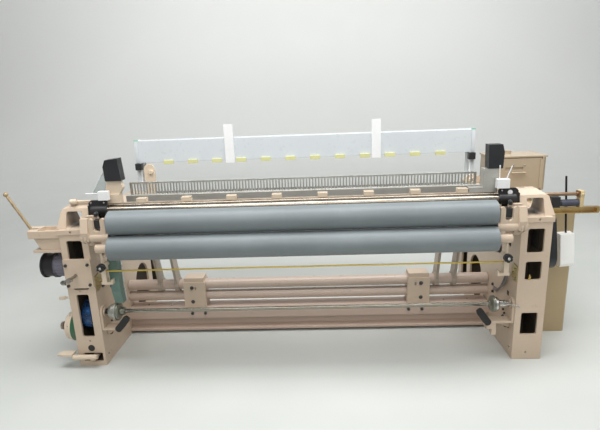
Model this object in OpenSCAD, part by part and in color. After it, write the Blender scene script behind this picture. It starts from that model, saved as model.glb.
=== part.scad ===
// Power loom for light filament cloth, shown as it leaves the assembly hall, with no warp in it.
// X runs along the rollers, the operator stands at minus Y, and Z is up from the floor.
// Inside the modules Y is counted from the front faces of the side frames, and on the two
// ends X is counted inward from the inner face of the side frame.

/* [Overall] */
// Length of the two cloth rollers
roller_len = 2256; // [1800:2:2600]
// Space from a roller end to the side frame
end_space = 174; // [170:1:190]
// How far the start handle and the feeder arm reach out from the inner faces of the side frames
side_reach = 528; // [510:2:560]
// How far the tip of the start handle stands outboard of its pivot
handle_out = 173; // [150:1:190]

/* [Side frames] */
// Width of one side frame
frame_w = 178; // [170:1:190]
// Depth of the side frames from front to back
frame_d = 1180; // [1170:10:1300]
// Height of the side frames behind the tower
frame_h = 935; // [925:1:945]
// Height of the front tower above the floor
tower_top = 1078; // [1074:1:1090]
// Height of the ledge below the tower window
ledge_z = 925; // [915:1:930]
// Wall thickness of the castings
casting_t = 16; // [12:1:18]
// Thickness of the foot plate
foot_t = 25; // [20:1:28]

/* [Cloth rollers] */
// Diameter over the rubber of both cloth rollers
roller_d = 148; // [140:1:150]
// Nip left for the cloth between the rollers
nip_gap = 0.6; // [0.4:0.1:1.2]
// How far the take-up roller stands forward of the press roller
take_up_fwd = 37; // [30:1:44]
// Height of the take-up roller axis
take_up_z = 828; // [824:1:832]
// How far the press roller axis stands in front of the frames
press_fwd = 43; // [40:1:46]
// Journal diameter of the take-up roller
take_up_journal = 40; // [34:1:44]
// Journal diameter of the press roller
press_journal = 28; // [22:1:32]
// How far the press roller lifts off
press_lift = 15; // [10:1:18]

/* [Pipes and bars] */
// Diameter of the breast pipe
breast_d = 46; // [40:1:48]
// Height of the breast pipe axis
breast_z = 1030; // [1030:1:1034]
// Diameter of the cloth guide rod
guide_d = 10; // [8:1:14]
// Diameter of the rocking shaft
rocking_d = 76; // [70:1:80]
// Diameter of the stay tube below it
stay_d = 72; // [66:1:76]
// Depth of the rocking shaft behind the frame fronts
rocking_y = 500; // [495:1:505]
// Height of the rocking shaft axis
rocking_z = 353; // [350:1:358]
// Drop from the rocking shaft axis to the stay tube axis
stay_drop = 87; // [85:1:92]
// Height of the low cross beam
cross_h = 170; // [150:1:176]

/* [Cloth roll] */
// Diameter of the cloth roll shaft
cloth_shaft_d = 26; // [20:1:32]
// Height of the cloth roll axis
cloth_z = 360; // [352:1:364]
// Diameter of the flange of the left chuck
chuck_flange_d = 126; // [110:1:130]
// Diameter of the chuck journals
chuck_journal = 36; // [30:1:40]

/* [Sley and reed] */
// Length of the reed
reed_len = 2240; // [1700:10:2290]
// Height of the reed
reed_h = 84; // [70:1:95]
// Number of gaps between the reed teeth
reed_gaps = 112; // [40:1:120]
// Depth of the reed behind the frame fronts
reed_y = 300; // [295:1:310]
// Height of the reed holder top
reed_z = 1072; // [1066:1:1078]
// Sideways place of the inner legs of the sley swords
sword_x = 935; // [915:5:960]
// Distance between the two legs of a sword
sword_w = 124; // [80:2:150]

/* [Top beam] */
// Height of the top beam
beam_h = 168; // [150:1:180]
// Depth of the top beam
beam_d = 120; // [100:1:130]
// Height of the underside of the top beam
beam_z = 1200; // [1180:5:1240]
// How far its front face stands ahead of the backs of the frames
beam_setback = 260; // [250:5:265]
// Sideways place of the two straps
strap_x = 562; // [555:1:580]
// Number of clips under the beam
clip_count = 12; // [6:2:12]

/* [Drive side] */
// Step from the frame top down to the top of the drive guard
guard_drop = 85; // [70:1:110]
// Width of the drive guard
guard_w = 320; // [300:5:340]
// Height of the control cabinet
cabinet_h = 240; // [220:5:260]

/* [Clearances] */
// Radial clearance of shafts in their bores
fit = 0.05; // [0.03:0.01:0.08]
// Gap beside sliding and swinging pieces
slide_gap = 0.3; // [0.2:0.05:0.5]

/* [Hidden] */
$fn = 48;

// Places that several pieces share
half_gap = roller_len / 2 + end_space;
press_y = -press_fwd;
take_up_y = press_y - take_up_fwd;
centre_dist = roller_d + nip_gap;
press_z = take_up_z + sqrt(centre_dist * centre_dist - take_up_fwd * take_up_fwd);
front_reach = roller_d / 2 - take_up_y;
y0 = front_reach - (frame_d + front_reach) / 2;
end_face = end_space - 2;
guard_h = frame_h - guard_drop;
beam_y = frame_d - beam_setback;

// Side frame
tower_foot_y = 22;
tower_face_y = 66;
tower_face_z = tower_top - 33;
tower_y1 = 100;
tower_y2 = 150;
tower_y3 = 215;
tower_flare = 20;
window_r = 12;
web_y = [232, frame_d - 280];
big_hole = [[270, 630], [300, 600], [700, 520], [720, 540], [720, 850], [690, 880], [300, 880], [270, 850]];
gear_y = 120;
gear_z = 318;
gear_d = 188;
gear_shaft_d = 30;
pulley_y = 100;
pulley_z = 671;
pulley_shaft_d = 30;
pedal_y = 90;
pedal_z = 58;
pedal_pin_d = 12;
rocking_journal = 50;
stay_z = rocking_z - stay_drop;
sword_hub_d = 2 * (stay_drop - stay_d / 2 - 1);
back_rest_y = frame_d - 70;
back_rest_z = 880;
back_rest_d = 110;
back_rest_journal = 40;

// Cross beam and bearing blocks
cross_y = 420;
cross_d = 140;
cross_z = 20;
cross_top = cross_z + cross_h;
block_x = 806;
block_w = 156;

// Rear beam
rear_side = 80;
rear_z = frame_h / 2 - 18;

// Roller bracket
fork_x1 = end_space - 114;
fork_x2 = end_space - 14;
slide_x = fork_x1 + 20;
slide_w = 48;
slide_len = 60;
slide_z1 = press_z - slide_w / 2;
slot_w = slide_w + 2 * slide_gap;
housing_top = slide_z1 + slide_w + press_lift + 2;
tube_y = -68;
tube_z = 895;
tube_d = 56;
lower_boss_d = take_up_journal + 16;
boss_x1 = 88;
hanger_x = 108;
hanger_rod_d = 14;
hanger_rod_y = -76;

// Hangers, guide rod and knobs
hanger_z = 584;
arm_x1 = 77;
arm_x2 = 105;
guide_y = -34;
guide_z = 668;
knob_z = 714;
knob_d = 50;
knob_pin = 10;
boss_front = -92;

// Cloth roll ends
cloth_y = 50;
shelf_z = 246;
shelf_t = 13;
shelf_y1 = 8;
shelf_y2 = 78;
bearing_t = 14;
left_chuck_x = 46;
left_disc_x2 = 146;
right_chuck_x = 85;
right_disc_x2 = 147;
left_lever_x = 114;
right_lever_x = 164;
lever_z = 262;
lever_pin = 10;
lever_t = 15;

// Breast line
breast_y = 55;
bracket_x2 = 128;
temple_y1 = 104;
temple_y2 = 134;
temple_z1 = tower_top - 38;
temple_h = 22;
temple_top = temple_z1 + temple_h;
clamp_pitch = (half_gap - 322) / 3.5;

bracket_top = temple_top + 32;
guide_top = bracket_top + 54;
column_top = tower_top + 124;
right_column_top = tower_top + 126;

// Posts of the top beam
post_t = 10;
clip_pitch = 190;
clip_w = 76;
hole_pitch = 130;
beam_t = 4;

// Left outboard parts
flange_z = 918;
pivot_z = 816;
handle_y1 = 68;
handle_y2 = 92;
handle_pin = 14;
ball_d = 30;
handle_lean = 28;
tip_x = -side_reach + ball_d / 2;
pivot_x = tip_x + handle_out;

// Right outboard parts
arm_y1 = 136;
arm_y2 = 164;
arm_z1 = ledge_z - 20;
arm_z2 = arm_z1 + 40;
rod_x = -side_reach + 125;
rod_z = arm_z2 + 80;

guard_y1 = 350;
guard_t = 4;

// Control cabinet
cab_x1 = 63;
cab_x2 = 443;
cab_y2 = frame_d - 220;
cab_y1 = cab_y2 - 240;
cab_z2 = frame_h + cabinet_h;
door_x2 = 408;
door_t = 12;
hinge_x = 421;
hinge_y = cab_y1 - door_t;
hinge_d = 14;
hinge_pin = 6;
knuckle_z1 = frame_h + 14;
knuckle_z2 = cab_z2 - 14;

// Placing on the two ends, and plain shapes along the axes
module at_left() translate([-half_gap, y0, 0]) children();
module at_right() translate([half_gap, y0, 0]) mirror([1, 0, 0]) children();
module on_centre() translate([0, y0, 0]) children();
module block(x1, x2, y1, y2, z1, z2) translate([x1, y1, z1]) cube([x2 - x1, y2 - y1, z2 - z1]);
module bar_x(x1, x2, y, z, d) translate([x1, y, z]) rotate([0, 90, 0]) cylinder(d = d, h = x2 - x1);
module bar_y(x, y1, y2, z, d) translate([x, y1, z]) rotate([-90, 0, 0]) cylinder(d = d, h = y2 - y1);
module bar_z(x, y, z1, z2, d) translate([x, y, z1]) cylinder(d = d, h = z2 - z1);
module slab_x(x1, x2) translate([x1, 0, 0]) rotate([90, 0, 90]) linear_extrude(x2 - x1) children();
module slab_y(y1, y2) translate([0, y2, 0]) rotate([90, 0, 0]) linear_extrude(y2 - y1) children();
module turned_x(x, y, z) translate([x, y, z]) rotate([0, 90, 0]) rotate_extrude() children();

// Rectangle with round corners, from its two opposite corners
module round_rect(a, b, c, d, r) {
  translate([a + r, c]) square([b - a - 2 * r, d - c]);
  translate([a, c + r]) square([b - a, d - c - 2 * r]);
  for (x = [a + r, b - r], y = [c + r, d - r]) translate([x, y]) circle(r);
}

module hex_head_y(x, y, z, s) translate([x, y, z]) rotate([90, 0, 0]) cylinder(d = s, h = 9, $fn = 6);
module hex_head_x(x, y, z, s) translate([x, y, z]) rotate([0, 90, 0]) cylinder(d = s, h = 9, $fn = 6);

// Side frame casting: a box with a front tower, windows in front and openings through its sides
module frame_outline() polygon([
  [0, 0], [0, ledge_z], [tower_foot_y, ledge_z], [tower_face_y, tower_face_z],
  [tower_y1, tower_top], [tower_y2, tower_top], [tower_y3, frame_h], [frame_d, frame_h], [frame_d, 0]
]);

module frame_cavity(y1, y2) block(-frame_w + casting_t, -casting_t, y1, y2, foot_t, frame_h - casting_t - 10);

module front_window(x1, x2, z1, z2) slab_y(-1, casting_t + 1) round_rect(x1, x2, z1, z2, window_r);

module side_frame_body() {
  difference() {
    union() {
      slab_x(-frame_w, 0) frame_outline();
      block(-frame_w, -14, -6, tower_foot_y, ledge_z - 30, ledge_z);
      block(-frame_w - 8, -frame_w + 1, -6, 8, ledge_z - 30, ledge_z);
      slab_x(-frame_w - tower_flare, -frame_w + 1) polygon([
        [tower_foot_y, ledge_z], [tower_face_y, tower_face_z], [130, tower_face_z], [130, ledge_z]
      ]);
    }
    frame_cavity(casting_t, web_y[0]);
    frame_cavity(web_y[0] + casting_t, web_y[1]);
    frame_cavity(web_y[1] + casting_t, frame_d - casting_t);
    slab_y(-1, tower_y3 + 60) round_rect(-frame_w + 40, -40, ledge_z, tower_face_z - 18, 16);
    slab_y(-1, tower_y3 + 10) translate([-frame_w, 0]) polygon([
      [-tower_flare - 1, ledge_z + 2], [-10, ledge_z + 35], [-3, ledge_z + 65], [6, tower_face_z - 11],
      [22, tower_face_z + 3], [72, tower_top + 1], [-tower_flare - 1, tower_top + 1]
    ]);
    slab_x(-frame_w - 1, 1) polygon(big_hole);
    slab_x(-frame_w - 1, 1) round_rect(130, 205, 690, 860, 20);
    slab_x(-frame_w - 1, 1) round_rect(frame_d - 220, frame_d - 75, 540, 780, 25);
    slab_x(-frame_w - 1, 1) round_rect(frame_d - 220, frame_d - 75, 120, 420, 25);
    slab_x(-frame_w - 1, 1) {
      translate([620, 90]) square([260, 210]);
      translate([750, 300]) circle(130);
    }
    front_window(-frame_w / 2 - 49, -frame_w / 2 + 49, 706, 855);
    front_window(-frame_w / 2 - 48, -frame_w / 2 + 48, 533, 650);
    bar_y(-99, -7, 4, ledge_z - 14, 14);
    block(-48, -14, 112, 132, tower_top - 20, tower_top + 1);
    bar_x(-casting_t - 1, 1, 94, 188, 22);
    bar_x(-casting_t - 1, 1, 49, 60, 18);
  }
  for (b = [[rocking_y, rocking_z, rocking_journal + 40], [back_rest_y, back_rest_z, back_rest_journal + 40]])
    bar_x(-casting_t - 44, -casting_t, b[0], b[1], b[2]);
  bar_x(-frame_w - 9, -frame_w + 1, rocking_y, rocking_z, rocking_journal + 52);
}

module side_frame_bores() {
  bar_x(-casting_t - 45, 1, rocking_y, rocking_z, rocking_journal + 2 * fit);
  bar_x(-casting_t - 45, 1, back_rest_y, back_rest_z, back_rest_journal + 2 * fit);
}

module left_side_frame() at_left() color("bisque") difference() {
  side_frame_body();
  side_frame_bores();
  front_window(-130, -51, 205, 500);
  slab_y(-1, casting_t + 1) round_rect(-144, -18, 28, 91, 6);
  bar_y(-100, -1, 6, 526, 14);
  bar_y(-89, -1, 8, 177, 10);
  bar_x(-frame_w - 1, 1, gear_y, gear_z, gear_shaft_d + 2 * fit);
  bar_x(-frame_w - 1, -100, pulley_y, pulley_z, pulley_shaft_d + 2 * fit);
  bar_x(-frame_w - 1, 1, pedal_y, pedal_z, pedal_pin_d + 2 * fit);
}

module right_side_frame() at_right() color("bisque") difference() {
  side_frame_body();
  side_frame_bores();
  front_window(-139, -39, 170, 317);
  bar_y(-83, -1, 8, 48, 12);
}

// Low cross beam: a folded channel with end plates on the side frames
module cross_beam() on_centre() color("bisque") {
  slab_x(-half_gap, half_gap) polygon([
    [cross_y, cross_top], [cross_y, cross_top - 75], [cross_y + 42, cross_top - 92],
    [cross_y + 42, cross_z + 34], [cross_y, cross_z + 14], [cross_y, cross_z],
    [cross_y + cross_d, cross_z], [cross_y + cross_d, cross_z + 14], [cross_y + 60, cross_z + 30],
    [cross_y + 60, cross_top - 16], [cross_y + cross_d, cross_top - 16], [cross_y + cross_d, cross_top]
  ]);
  for (s = [-1, 1], x = [half_gap - 14, block_x])
    translate([s * x - 7, cross_y + 60, cross_z + 14]) cube([14, cross_d - 62, cross_h - 30]);
}

module rear_beam() on_centre() color("bisque") difference() {
  block(-half_gap, half_gap, frame_d - 30 - rear_side, frame_d - 30, rear_z, rear_z + rear_side);
  block(-half_gap - 1, half_gap + 1, frame_d - 22 - rear_side, frame_d - 38,
    rear_z + 8, rear_z + rear_side - 8);
}

module stay_tube() on_centre() color("bisque") difference() {
  bar_x(-half_gap, half_gap, rocking_y, stay_z, stay_d);
  bar_x(-half_gap - 1, half_gap + 1, rocking_y, stay_z, stay_d - 12);
}

// Two split blocks that carry the rocking shaft and clamp the stay tube
module bearing_blocks() on_centre() color("bisque") for (s = [-1, 1]) difference() {
  union() {
    block(s * block_x - block_w / 2, s * block_x + block_w / 2, rocking_y - 60, rocking_y + 60,
      cross_top, rocking_z + 30);
    block(s * block_x - block_w / 2 + 8, s * block_x + block_w / 2 - 8, rocking_y - 52, rocking_y + 52,
      rocking_z + 30, rocking_z + rocking_d / 2 + 24);
  }
  bar_x(-half_gap, half_gap, rocking_y, rocking_z, rocking_d + 2 * fit);
  bar_x(-half_gap, half_gap, rocking_y, stay_z, stay_d + 2 * fit);
  for (x = [-22, 10], z = [rocking_z - 20, stay_z - 30])
    bar_y(s * block_x + x, rocking_y - 61, rocking_y - 52, z, 14);
}

// Roller bracket: forked housing for the press roller, tube boss and lower boss in one casting
module roller_bracket() color("bisque") difference() {
  union() {
    block(0, casting_t, 5, 100, 820, 915);
    slab_x(casting_t, fork_x1) polygon([
      [100, 820], [100, 905], [10, housing_top], [press_y - 44, housing_top], [-108, 930],
      [tube_y - 30, tube_z - 20], [tube_y + 10, tube_z - 30], [0, 820]
    ]);
    slab_y(press_y - 44, 8) {
      translate([fork_x1, tube_z]) square([fork_x2 - fork_x1, slide_z1 - tube_z + 20]);
      for (x = [fork_x1, fork_x2 - 28]) {
        translate([x, tube_z]) square([28, housing_top - 14 - tube_z]);
        translate([x + 14, housing_top - 14]) circle(14);
      }
    }
    bar_x(4, end_face, tube_y, tube_z, tube_d);
    for (x = [14, 34]) bar_x(x, x + 12, tube_y, tube_z, tube_d + 20);
    bar_x(boss_x1, end_face - 4, take_up_y, take_up_z, lower_boss_d);
    block(end_face - 44, end_face - 16, take_up_y - 8, take_up_y + 22, take_up_z + 20, tube_z);
  }
  block(casting_t - 1, fork_x2 + 1, press_y - slot_w / 2, press_y + slot_w / 2, slide_z1, housing_top + 1);
  slab_y(press_y - 45, 9) {
    translate([fork_x1 + 28, slide_z1 + 6]) square([fork_x2 - fork_x1 - 56, housing_top]);
    translate([(fork_x1 + fork_x2) / 2, slide_z1 + 6]) circle((fork_x2 - fork_x1 - 56) / 2);
  }
  bar_x(90, end_face + 1, tube_y, tube_z, 36);
  bar_x(boss_x1 - 1, end_face, take_up_y, take_up_z, take_up_journal + 2 * fit);
  bar_z(hanger_x, hanger_rod_y, take_up_z - lower_boss_d, take_up_z - take_up_journal / 2,
    hanger_rod_d + 2 * fit);
}

module roller_bracket_left() at_left() roller_bracket();
module roller_bracket_right() at_right() roller_bracket();

// Sliding bearings of the press roller
module bearing_slide() difference() {
  block(slide_x, slide_x + slide_len, press_y - slide_w / 2, press_y + slide_w / 2, slide_z1, slide_z1 + slide_w);
  bar_x(slide_x - 1, slide_x + slide_len + 1, press_y, press_z, press_journal + 2 * fit);
}
module bearing_slides() color("dimgray") {
  at_left() bearing_slide();
  at_right() bearing_slide();
}

// Hanger under each lower boss: a rod, a bent arm that carries the guide rod, and the knob boss
module guide_hanger() difference() {
  union() {
    bar_z(hanger_x, hanger_rod_y, knob_z, take_up_z - take_up_journal / 2 - 2, hanger_rod_d);
    bar_y(hanger_x, boss_front + slide_gap, guide_y + 14, knob_z, 30);
    slab_y(guide_y - 14, guide_y + 14) {
      translate([arm_x1, hanger_z]) square([arm_x2 - arm_x1, knob_z - hanger_z]);
      translate([arm_x1 - 7, hanger_z]) square([148 - arm_x1, 16]);
      translate([132, hanger_z]) square([9, 32]);
    }
  }
  bar_x(arm_x1 - 1, arm_x2 + 1, guide_y, guide_z, guide_d + 2 * fit);
  bar_y(hanger_x, boss_front - 1, hanger_rod_y + 2, knob_z, knob_pin + 2 * fit);
}
module guide_hangers() color("bisque") {
  at_left() guide_hanger();
  at_right() guide_hanger();
}

module guide_rod() on_centre() color("silver")
  bar_x(-half_gap + arm_x1, half_gap - arm_x1, guide_y, guide_z, guide_d);

// Star knob that clamps the hanger
module pressure_knob() color("#1c1c1c") {
  difference() {
    bar_y(hanger_x, boss_front - 22, boss_front, knob_z, knob_d);
    for (a = [0:60:300]) translate([hanger_x, 0, knob_z]) rotate([0, a, 0])
      bar_y(knob_d / 2 + 3, boss_front - 23, boss_front - 6, 0, 14);
  }
  bar_y(hanger_x, boss_front - 1, hanger_rod_y, knob_z, knob_pin);
  bar_y(hanger_x, boss_front - 27, boss_front - 21, knob_z, 18);
}
module pressure_knob_left() at_left() pressure_knob();
module pressure_knob_right() at_right() pressure_knob();

// Cloth roll bracket: a wall plate with the bearing, and a shelf that carries the locking lever
module cloth_bracket(lever_x) difference() {
  union() {
    slab_x(0, bearing_t) {
      translate([cloth_y, cloth_z]) circle(44);
      polygon([[shelf_y1, shelf_z], [150, shelf_z], [150, shelf_z + 40], [cloth_y + 40, cloth_z - 10],
        [cloth_y - 42, cloth_z - 10]]);
    }
    bar_x(bearing_t - 1, bearing_t + 8, cloth_y, cloth_z, chuck_journal + 22);
    block(0, lever_x + 18, shelf_y1, shelf_y2, shelf_z, shelf_z + shelf_t);
    slab_y(shelf_y2 - 12, shelf_y2) polygon([[0, 190], [bearing_t, 190], [lever_x - 20, shelf_z + 1], [0, shelf_z + 1]]);
    block(lever_x - 18, lever_x + 18, shelf_y1, shelf_y1 + 34, shelf_z - 8, lever_z + 12);
  }
  bar_x(-1, bearing_t + 9, cloth_y, cloth_z, chuck_journal + 2 * fit);
  bar_y(lever_x, shelf_y1 - 1, shelf_y1 + 35, lever_z, lever_pin + 2 * fit);
}
module cloth_brackets() color("bisque") {
  at_left() cloth_bracket(left_lever_x);
  at_right() {
    cloth_bracket(right_lever_x);
    block(104, 162, shelf_y1 + 4, shelf_y1 + 52, shelf_z - 40, shelf_z);
    block(102, 130, shelf_y1 + 4, shelf_y1 + 44, shelf_z - 81, shelf_z - 40);
  }
}

// Chucks of the cloth roll: journal and hub turned in one piece, with bolt bosses on the left one
module chuck_left() at_left() color("silver") {
  turned_x(0, cloth_y, cloth_z) polygon([
    [0, 1], [chuck_journal / 2, 1], [chuck_journal / 2, left_chuck_x], [34, left_chuck_x],
    [44, left_chuck_x + 8], [48, left_chuck_x + 22], [48, left_chuck_x + 44],
    [chuck_flange_d / 2, left_chuck_x + 44], [chuck_flange_d / 2, left_chuck_x + 56], [0, left_chuck_x + 56]
  ]);
  for (a = [30:60:330]) translate([0, cloth_y, cloth_z]) rotate([a, 0, 0])
    bar_x(left_chuck_x + 32, left_chuck_x + 44, 0, 55.5, 11);
}
module chuck_right() at_right() color("silver") turned_x(0, cloth_y, cloth_z) polygon([
  [0, 1], [chuck_journal / 2, 1], [chuck_journal / 2, 40], [22, 44], [22, right_chuck_x],
  [36, right_chuck_x + 2], [46, right_chuck_x + 12], [50, right_chuck_x + 27], [0, right_chuck_x + 27]
]);

// Sprocket disc behind the left chuck and clamping disc on the right one
module chuck_discs() color("#2a3a34") {
  at_left() turned_x(0, cloth_y, cloth_z) polygon([
    [0, left_chuck_x + 56], [56, left_chuck_x + 56], [56, left_chuck_x + 66], [48, left_chuck_x + 72],
    [26, left_chuck_x + 76], [26, left_disc_x2], [0, left_disc_x2]
  ]);
  at_right() turned_x(0, cloth_y, cloth_z) polygon([
    [0, right_chuck_x + 27], [52, right_chuck_x + 27], [52, right_chuck_x + 44], [40, right_chuck_x + 50],
    [22, right_disc_x2 - 6], [22, right_disc_x2], [0, right_disc_x2]
  ]);
}

module cloth_shaft() on_centre() color("silver")
  bar_x(-half_gap + left_disc_x2, half_gap - right_disc_x2, cloth_y, cloth_z, cloth_shaft_d);

// Locking lever of the cloth roll, on a pin in the bracket
module lock_lever(lever_x, lean) color("#202020") {
  translate([lever_x, 0, lever_z]) rotate([0, lean, 0])
    slab_y(shelf_y1 - slide_gap - lever_t, shelf_y1 - slide_gap) {
      circle(22);
      polygon([[-21, -6], [21, -6], [23, 34], [21, 84], [12, 104], [-16, 104], [-23, 90], [-22, 40]]);
    }
  bar_y(lever_x, shelf_y1 - slide_gap - 6, shelf_y1 + 34, lever_z, lever_pin);
}
module lock_lever_left() at_left() lock_lever(left_lever_x, 42);
module lock_lever_right() at_right() lock_lever(right_lever_x, 36);

// Zinc plated wall plates at the front of the inner faces
module wall_plates() color("darkkhaki") for (side = [0, 1]) mirror([side, 0, 0]) at_right() {
  slab_x(0, 5) polygon([[8, 516], [52, 516], [90, 540], [90, 598], [60, 622], [8, 612]]);
  for (p = [[30, 536], [64, 560], [36, 590]]) hex_head_x(5, p[0], p[1], 18);
}

// Closed guard over the chain from the take-up roller to the cloth roll
module chain_guard() at_left() color("mediumaquamarine") {
  slab_x(104, 160) polygon([
    [-4, 735], [-4, 520], [cloth_y - 28, 430], [cloth_y + 28, 430], [66, 520], [66, 735]
  ]);
  bar_x(0, 105, 52, 640, 12);
}

// Breast bracket: plate, hub for the breast pipe and a shelf for the temple bar
module breast_bracket() difference() {
  union() {
    slab_y(48, 62) polygon([
      [14, temple_z1 - 55], [30, temple_z1 - 63], [bracket_x2 - 10, temple_z1 - 55],
      [bracket_x2, temple_z1 - 40], [bracket_x2, bracket_top - 12],
      [116, bracket_top], [30, bracket_top], [14, bracket_top - 15]
    ]);
    bar_x(30, bracket_x2, breast_y, breast_z, breast_d + 16);
    block(0, 14, 60, 150, temple_z1 - 80, temple_z1 + 20);
    block(0, bracket_x2, 60, 150, temple_z1 - 14, temple_z1);
  }
  bar_x(bracket_x2 - 20, bracket_x2 + 1, breast_y, breast_z, breast_d + 2 * fit);
}
module breast_brackets() color("#242424") {
  at_left() breast_bracket();
  at_right() breast_bracket();
}

module breast_pipe() on_centre() color("silver") difference() {
  bar_x(-half_gap + bracket_x2 - 20, half_gap - bracket_x2 + 20, breast_y, breast_z, breast_d);
  bar_x(-half_gap, half_gap, breast_y, breast_z, breast_d - 8);
}

module temple_bar() on_centre() color("#5a4a3c") {
  block(-half_gap + 20, half_gap - 20, temple_y1, temple_y2, temple_z1, temple_top);
}

// Small clamps in a row along the temple bar
module temple_clamps() on_centre() color("bisque") for (i = [-3.5:1:3.5]) difference() {
  block(i * clamp_pitch - 30, i * clamp_pitch + 30, temple_y1 - 8, temple_y2 + 8, temple_top, temple_top + 26);
  block(i * clamp_pitch - 31, i * clamp_pitch + 31, temple_y1 + 8, temple_y2 - 8, temple_top + 14, temple_top + 27);
}

// White guide blocks on the breast brackets, with their yarn rods
module guide_block(x1) block(x1, 142, 40, 76, bracket_top, guide_top);
module guide_blocks() color("white") {
  at_left() {
    guide_block(82);
    bar_x(0, 83, 58, guide_top - 14, 7);
  }
  at_right() {
    guide_block(70);
    translate([88, 50, guide_top - 2]) rotate([8, -16, 0]) cylinder(d = 7, h = 84);
    translate([124, 62, guide_top - 2]) rotate([8, 4, 0]) cylinder(d = 7, h = 84);
  }
}

module feeler_column_left() at_left() color("bisque") {
  block(96, 190, 94, 150, temple_top, tower_top + 42);
  slab_y(104, 140) polygon([
    [96, tower_top + 40], [190, tower_top + 40], [216, tower_top + 82],
    [200, column_top], [120, column_top], [110, tower_top + 82]
  ]);
}
module feeler_column_right() at_right() color("gray") {
  block(122, 206, 94, 150, temple_top, right_column_top);
  block(205, 284, 100, 144, temple_top, temple_top + 30);
}

// Four black sensor boxes: two over the feeler columns and two under the ends of the top beam
module sensor_boxes() color("#1a1a1a") {
  at_left() slab_y(92, 158) polygon([
    [116, column_top], [216, column_top], [206, column_top + 136],
    [128, column_top + 128], [112, column_top + 88]
  ]);
  at_right() slab_y(92, 158) polygon([
    [96, right_column_top], [180, right_column_top], [184, right_column_top + 141],
    [104, right_column_top + 141], [92, right_column_top + 96]
  ]);
  for (side = [0, 1]) mirror([side, 0, 0]) at_right()
    block(2, 50, beam_y - 40, beam_y, beam_z - 52, beam_z - 2);
}

module splash_guard() at_left() color([0.85, 0.92, 0.95, 0.45])
  slab_y(158, 162) polygon([
    [-4, tower_top + 40], [66, tower_top + 153], [124, tower_top + 214],
    [150, tower_top + 214], [150, tower_top + 132], [96, tower_top + 40]
  ]);

// Small fitting on the slope of the left tower
module tower_fitting() at_left() color("bisque") {
  bar_x(-112, -72, 80, tower_top + 5, 34);
  bar_x(-73, 30, 84, tower_top + 6, 14);
}

// Cover plate on the left front, with the end of the hand crank shaft
module cover_plate() at_left() color("bisque") difference() {
  slab_y(-10, 0) round_rect(-176, -2, 547, 740, 8);
  bar_y(-105, -11, 1, 634, 20 + 2 * fit);
}
module crank_stub() at_left() color("silver") {
  bar_y(-105, -92, 12, 634, 20);
  bar_y(-105, -106, -90, 634, 30);
  translate([-105, -98, 634]) rotate([0, 90, 0]) cylinder(d = 10, h = 52, center = true);
}

// Top beam on two posts
module beam_posts() color("whitesmoke") for (side = [0, 1]) mirror([side, 0, 0]) at_right() {
  block(0, post_t, beam_y, beam_y + 112, frame_h - 135, beam_z + beam_h + 3);
  block(0, 35, beam_y, beam_y + 8, frame_h - 135, beam_z);
  block(0, 35, beam_y + 104, beam_y + 112, frame_h - 135, beam_z);
}
module top_beam() on_centre() color("whitesmoke") difference() {
  block(-half_gap + post_t, half_gap - post_t, beam_y, beam_y + beam_d, beam_z, beam_z + beam_h);
  block(-half_gap + post_t + beam_t, half_gap - post_t - beam_t, beam_y + beam_t, beam_y + beam_d - beam_t,
    beam_z + beam_t, beam_z + beam_h - beam_t);
  for (x = [-9:1:9]) bar_z(x * hole_pitch, beam_y + beam_d / 2, beam_z - 1, beam_z + 5, 40);
}
module beam_straps() on_centre() color("white") for (s = [-1, 1])
  block(s * strap_x - 35, s * strap_x + 35, beam_y - 6, beam_y, beam_z - 20, beam_z + beam_h + 104);
module beam_clips() on_centre() color("gold") for (i = [0:clip_count - 1])
  translate([(i - (clip_count - 1) / 2) * clip_pitch, 0, 0])
    block(-clip_w / 2, clip_w / 2, beam_y - 14, beam_y, beam_z - 14, beam_z + 14);

// Outboard bracket with the pivot of the start handle: trough, web and shelf in one casting
module outboard_bracket() at_left() color("bisque") difference() {
  union() {
    translate([0, 0, flange_z - 46]) linear_extrude(46) polygon([
      [-frame_w, 10], [pivot_x - 38, 10], [pivot_x - 84, 140], [-frame_w, 140]
    ]);
    slab_y(20, 36) polygon([[-frame_w, flange_z - 45], [pivot_x - 10, flange_z - 45], [pivot_x + 28, 797], [-frame_w, 797]]);
    block(pivot_x - 20, -frame_w, 10, 120, pivot_z - 36, pivot_z - 20);
    block(pivot_x - 16, pivot_x + 16, handle_y2 + slide_gap, 118, pivot_z - 21, pivot_z + 16);
  }
  translate([0, 0, flange_z - 24]) linear_extrude(25) polygon([
    [-frame_w - 14, 24], [pivot_x + 18, 24], [pivot_x + 6, 60], [pivot_x + 6, 128], [-frame_w - 14, 128]
  ]);
  translate([0, 0, flange_z - 60]) linear_extrude(26) polygon([
    [-frame_w - 14, 37], [pivot_x - 32, 37], [pivot_x - 64, 128], [-frame_w - 14, 128]
  ]);
  block(pivot_x - 100, pivot_x - 4, handle_y1 - 3, handle_y2 + 3, flange_z - 50, flange_z + 1);
  bar_y(pivot_x, handle_y2, 119, pivot_z, handle_pin + 2 * fit);
}

module start_handle() at_left() color("peru") {
  run = handle_out / sin(handle_lean);
  bar_y(pivot_x, handle_y1, handle_y2, pivot_z, 34);
  bar_y(pivot_x, handle_y2 - 1, 116, pivot_z, handle_pin);
  translate([pivot_x, (handle_y1 + handle_y2) / 2, pivot_z]) rotate([0, -handle_lean, 0]) {
    cylinder(d = 18, h = run);
    translate([0, 0, run]) sphere(d = ball_d);
  }
}

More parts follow.
